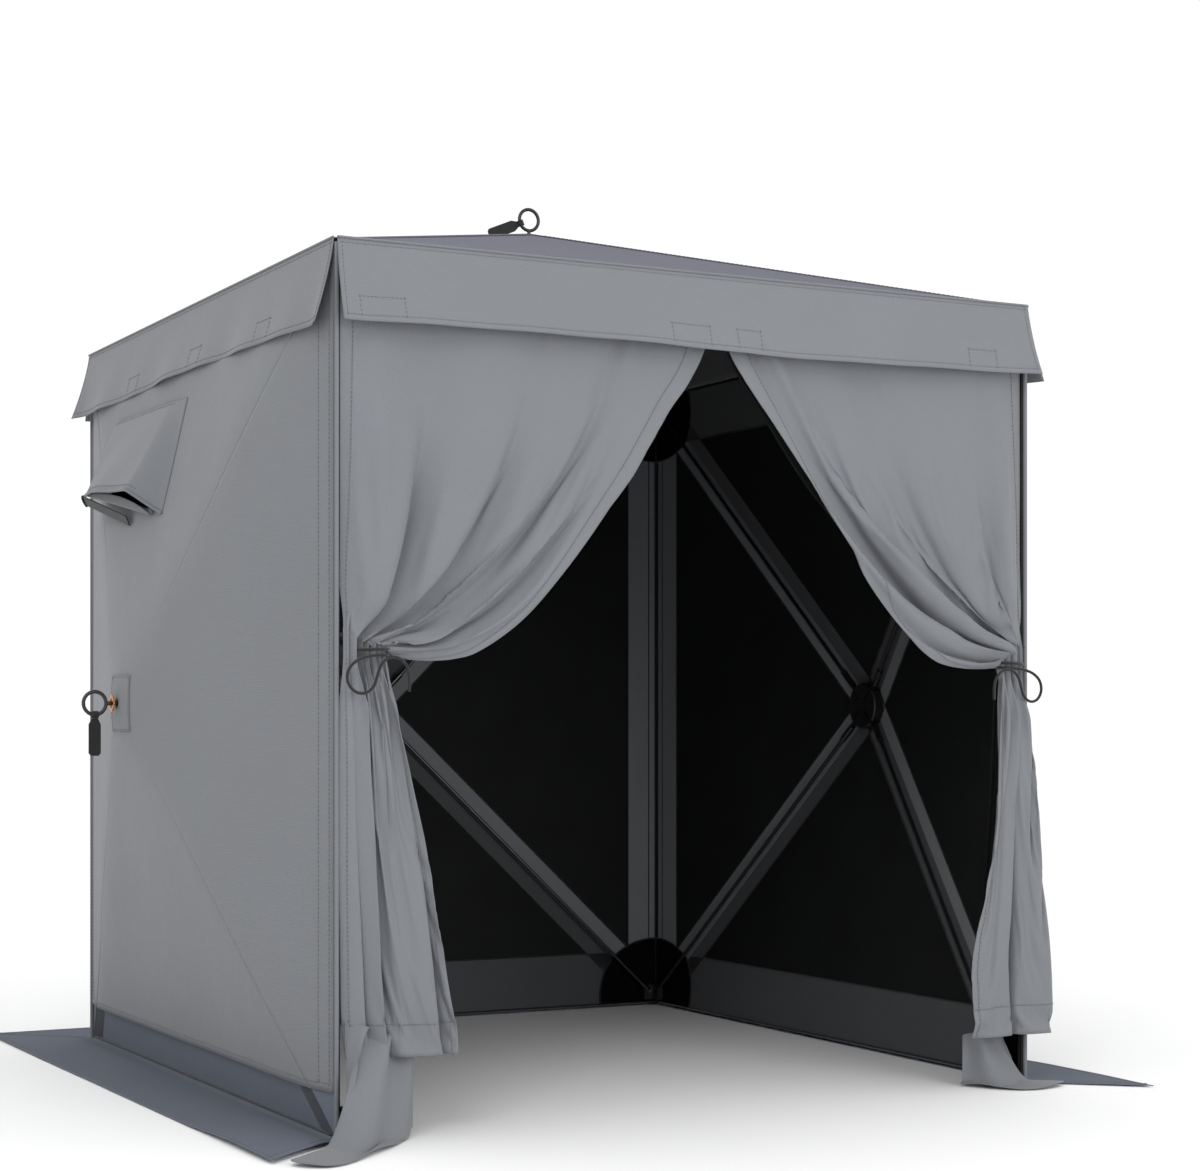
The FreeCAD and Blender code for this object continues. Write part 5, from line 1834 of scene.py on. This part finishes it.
class Studio:
    """The pale floor, the soft lights and the camera at the photograph's viewing angle."""

    CAMERA = (-2.813, -5.610, 0.903)
    YAW_DEG = -27.2
    LENS_MM = 70.77
    SHIFT = (0.0397, 0.1125)
    FLOOR_HALF = 60.0
    FLOOR_LEVEL = -0.001
    WORLD_POWER = 1.05

    @classmethod
    def camera(cls) -> None:
        """Sets the camera level at breast height, off the left front corner."""
        data = bpy.data.cameras.new("camera")
        data.sensor_fit = "HORIZONTAL"
        data.sensor_width = 36.0
        data.lens = cls.LENS_MM
        data.shift_x, data.shift_y = cls.SHIFT
        camera = put("camera", data)
        camera.location = cls.CAMERA
        camera.rotation_euler = (math.radians(90), 0.0, math.radians(cls.YAW_DEG))
        bpy.context.scene.camera = camera

    @classmethod
    def floor(cls) -> None:
        """Lays a large pale floor just under the tent."""
        made, tree = new_tree("matt_white_floor")
        place = add_node(tree, "ShaderNodeTexCoord").outputs["Object"]
        grain = add_node(tree, "ShaderNodeTexNoise", {"Vector": place, "Scale": 1.5})
        tone = add_node(tree, "ShaderNodeMapRange", {
            "Value": grain.outputs["Fac"], "To Min": 0.95, "To Max": 0.97})
        add_shader(tree, {
            "Base Color": tone.outputs[0], "Roughness": 0.9, "Specular IOR Level": 0.1})
        corners = [(x * cls.FLOOR_HALF, y * cls.FLOOR_HALF, cls.FLOOR_LEVEL)
                   for x, y in ((-1, -1), (1, -1), (1, 1), (-1, 1))]
        mesh = bpy.data.meshes.new("floor")
        mesh.from_pydata(corners, [], [(0, 1, 2, 3)])
        mesh.materials.append(made)
        floor = put("floor", mesh)

    @staticmethod
    def light(name: str, place: Point, target: Point, size: float, power: float) -> None:
        """Adds a square soft box.

        Args:
            name: Its name.
            place: Where it stands.
            target: What it points at.
            size: Its side, in metres.
            power: In watts.
        """
        data = bpy.data.lights.new(name, "AREA")
        data.shape = "SQUARE"
        data.size = size
        data.energy = power
        lamp = put(name, data)
        lamp.location = place
        lamp.rotation_euler = (Vector(target) - Vector(place)).to_track_quat("-Z", "Y").to_euler()

    @classmethod
    def build(cls) -> None:
        """Builds the studio."""
        cls.camera()
        cls.floor()
        world = bpy.data.worlds.new("studio_white")
        world.use_nodes = True
        world.node_tree.nodes["Background"].inputs[0].default_value = (1.0, 1.0, 1.0, 1.0)
        world.node_tree.nodes["Background"].inputs[1].default_value = cls.WORLD_POWER
        bpy.context.scene.world = world
        bpy.context.scene.view_settings.view_transform = "Standard"
        cls.light("key_box", (-4.5, -6.0, 5.5), (0.0, 0.0, 1.0), 3.0, 130.0)
        cls.light("fill_box", (1.0, -8.5, 2.0), (0.0, 0.0, 0.6), 4.0, 220.0)
        log.info("studio")


# ---------------------------------------------------------------- the whole tent


LEFT_KNOT = (0.846, 1.057)
RIGHT_KNOT = (0.862, 1.046)
LEFT_INNER = ((0.003, 1.924), (0.005, 1.756), (0.104, 1.609), (0.209, 1.462), (0.312, 1.344),
              (0.421, 1.226), (0.513, 1.135), (0.625, 1.062), (0.721, 1.036), (0.790, 1.040))
RIGHT_INNER = ((0.026, 1.924), (0.044, 1.753), (0.148, 1.596), (0.259, 1.448), (0.401, 1.299),
               (0.520, 1.150), (0.600, 1.082), (0.690, 1.044), (0.800, 1.036))


LEFT_CREASES = (
    Crease(((0.80, 0.10), (1.00, 0.11), (1.40, 0.11), (2.00, 0.13)), 0.9, 0.07),
    Crease(((0.20, 0.28), (0.90, 0.30), (1.00, 0.26), (1.40, 0.27), (2.00, 0.29))),
    Crease(((0.10, 0.60), (0.45, 0.58), (0.70, 0.53), (0.84, 0.45), (1.00, 0.41), (1.60, 0.42))),
    Crease(((0.00, 0.88), (0.32, 0.81), (0.45, 0.77), (0.57, 0.72), (0.71, 0.63), (0.84, 0.56),
            (1.00, 0.55), (1.55, 0.58)), 1.0, 0.08),
    Crease(((0.20, 0.97), (0.48, 0.89), (0.62, 0.83), (0.80, 0.73), (1.00, 0.70), (1.40, 0.72)),
           0.7, 0.07),
    Crease(((0.70, 0.90), (0.90, 0.85), (1.00, 0.84), (2.00, 0.82)), 0.8, 0.08))
RIGHT_CREASES = (
    Crease(((0.25, 0.18), (0.46, 0.23), (0.64, 0.29), (0.84, 0.22), (1.00, 0.14), (1.80, 0.20)),
           0.6, 0.09),
    Crease(((0.15, 0.65), (0.50, 0.64), (0.59, 0.60), (0.70, 0.49), (0.89, 0.32), (1.00, 0.29),
            (1.50, 0.31))),
    Crease(((0.00, 0.91), (0.39, 0.85), (0.49, 0.80), (0.60, 0.69), (0.77, 0.53), (1.00, 0.44),
            (1.60, 0.42)), 1.0, 0.08),
    Crease(((0.10, 0.99), (0.42, 0.98), (0.55, 0.95), (0.67, 0.86), (0.78, 0.72), (1.00, 0.66),
            (1.40, 0.66), (2.00, 0.58)), 1.0, 0.08),
    Crease(((0.60, 1.00), (0.76, 0.95), (0.90, 0.84), (1.00, 0.83), (1.50, 0.85)), 0.8, 0.07))
NET_CREASES = tuple(Crease(((0.10, place), (2.0, place)), 1.0, 0.10)
                    for place in (0.15, 0.38, 0.60, 0.82))


LEFT_LEVELS = ((1.040, 0.808, 0.912), (1.000, 0.800, 0.914), (0.800, 0.748, 0.916),
               (0.577, 0.700, 0.916), (0.292, 0.664, 0.910), (0.182, 0.661, 0.900))
RIGHT_LEVELS = ((1.028, 0.826, 0.908), (0.985, 0.824, 0.920), (0.790, 0.806, 0.962),
                (0.480, 0.745, 0.986), (0.300, 0.704, 1.000), (0.130, 0.712, 0.998))
LEFT_NET_LEVELS = ((1.040, 0.822, 0.860), (0.800, 0.776, 0.862), (0.577, 0.746, 0.862),
                   (0.292, 0.724, 0.862), (0.210, 0.724, 0.862))
RIGHT_NET_LEVELS = ((1.028, 0.840, 0.866), (0.800, 0.830, 0.866), (0.480, 0.805, 0.864),
                    (0.300, 0.795, 0.862), (0.210, 0.795, 0.862))
NET_INSET = 0.02
THREE_TABS = ((-0.5, 0.10), (0.1, 0.06), (0.62, 0.10))
VALANCE_TABS = {"right": THREE_TABS, "back": THREE_TABS,
                "left": ((-0.45, 0.09), (0.10, 0.09), (0.62, 0.09)),
                "front": ((-0.90, 0.11), (-0.07, 0.11), (0.10, 0.07), (0.83, 0.09))}
COVER_SEEDS = {"left": 11.0, "back": 18.0, "right": 25.0}
FLAP_INNER = 0.905
FLAP_OUTER = 1.160


def curtains() -> None:
    """Builds both privacy curtains, and the mesh door halves and door flaps behind them."""
    left = Curtain("privacy_curtain_left", -1, LEFT_INNER, LEFT_KNOT, LEFT_LEVELS, LEFT_CREASES,
                   Finish.CURTAIN, seed=1.0)
    left.stitches(left.build("curtain_left", "cover_cloth"))
    right = Curtain("privacy_curtain_right", 1, RIGHT_INNER, RIGHT_KNOT, RIGHT_LEVELS,
                    RIGHT_CREASES, Finish.CURTAIN, seed=2.0, inset=0.004, outer=0.911,
                    waist=(0.084, 0.050))
    right.stitches(right.build("curtain_right", "cover_cloth"))
    for label, side, inner, knot, levels, seed in (
            ("left", -1, LEFT_INNER, LEFT_KNOT, LEFT_NET_LEVELS, 7.0),
            ("right", 1, RIGHT_INNER, RIGHT_KNOT, RIGHT_NET_LEVELS, 8.0)):
        shifted = tuple((a + NET_INSET, z + NET_INSET) for a, z in inner)
        net = Drape(f"mesh_door_{label}_net", side, shifted, knot, levels, NET_CREASES,
                    Finish.NETTING, front=-0.896, outer=0.842, head=1.922, deepest=0.014,
                    waist=(0.036, 0.02), waist_back=-0.886, inset=0.0, rows_above=60,
                    rows_below=60, columns=90, frames=0, seed=seed)
        net.build(f"mesh_door_{label}", "mesh", 0.0008)
    DoorFlap("door_flap_left", -1, ((0.900, -0.955), (0.975, -1.030), (1.095, -1.105),
                                    (1.060, -1.165), (1.000, -1.160), (0.900, -1.080),
                                    (0.800, -0.985), (0.712, -0.850)),
             ((0.903, -0.945), (0.738, -0.930)), 0.26, 3, seed=0.6).build()
    DoorFlap("door_flap_right", 1, ((0.880, -0.900), (0.950, -0.935), (0.985, -0.985),
                                    (0.950, -1.015), (0.870, -1.025), (0.800, -0.985),
                                    (0.745, -0.890)),
             ((0.858, -0.900), (0.756, -0.895)), 0.16, 2, seed=1.9).build()


def main() -> None:
    """Builds the tent in order: studio, cords, cloth, hardware."""
    logging.basicConfig(level=logging.INFO, format="%(message)s")
    Studio.build()
    TieCord(-1, (-0.846, -0.915, 1.057)).build()
    TieCord(1, (0.862, -0.915, 1.046)).build()
    Hardware.dress()
    covers = {panel.name: Cover(panel, seed=COVER_SEEDS[panel.name])
              for panel in (LEFT, BACK, RIGHT)}
    for cover in covers.values():
        ScreenPanel(cover.panel).build()
        cover.build()
    CornerTape.build()
    Roof().build()
    for turn, (name, tabs) in enumerate(VALANCE_TABS.items()):
        Valance(name, turn, tabs).build()
    VentHood(covers["left"]).build()
    curtains()
    inner, outer = FLAP_INNER, FLAP_OUTER
    GroundFlap("left", ((-inner, inner), (-inner, -inner), (-outer + 0.03, -outer + 0.075),
                        (-outer, outer)), 21.0).build()
    GroundFlap("back", ((inner, inner + 0.002), (-inner, inner + 0.002), (-outer, outer + 0.002),
                        (outer, outer + 0.002)), 22.0).build()
    GroundFlap("right", ((inner, -inner), (inner, inner), (outer, outer), (outer, -outer + 0.04)),
               23.0).build()


if __name__ == "__main__":
    main()
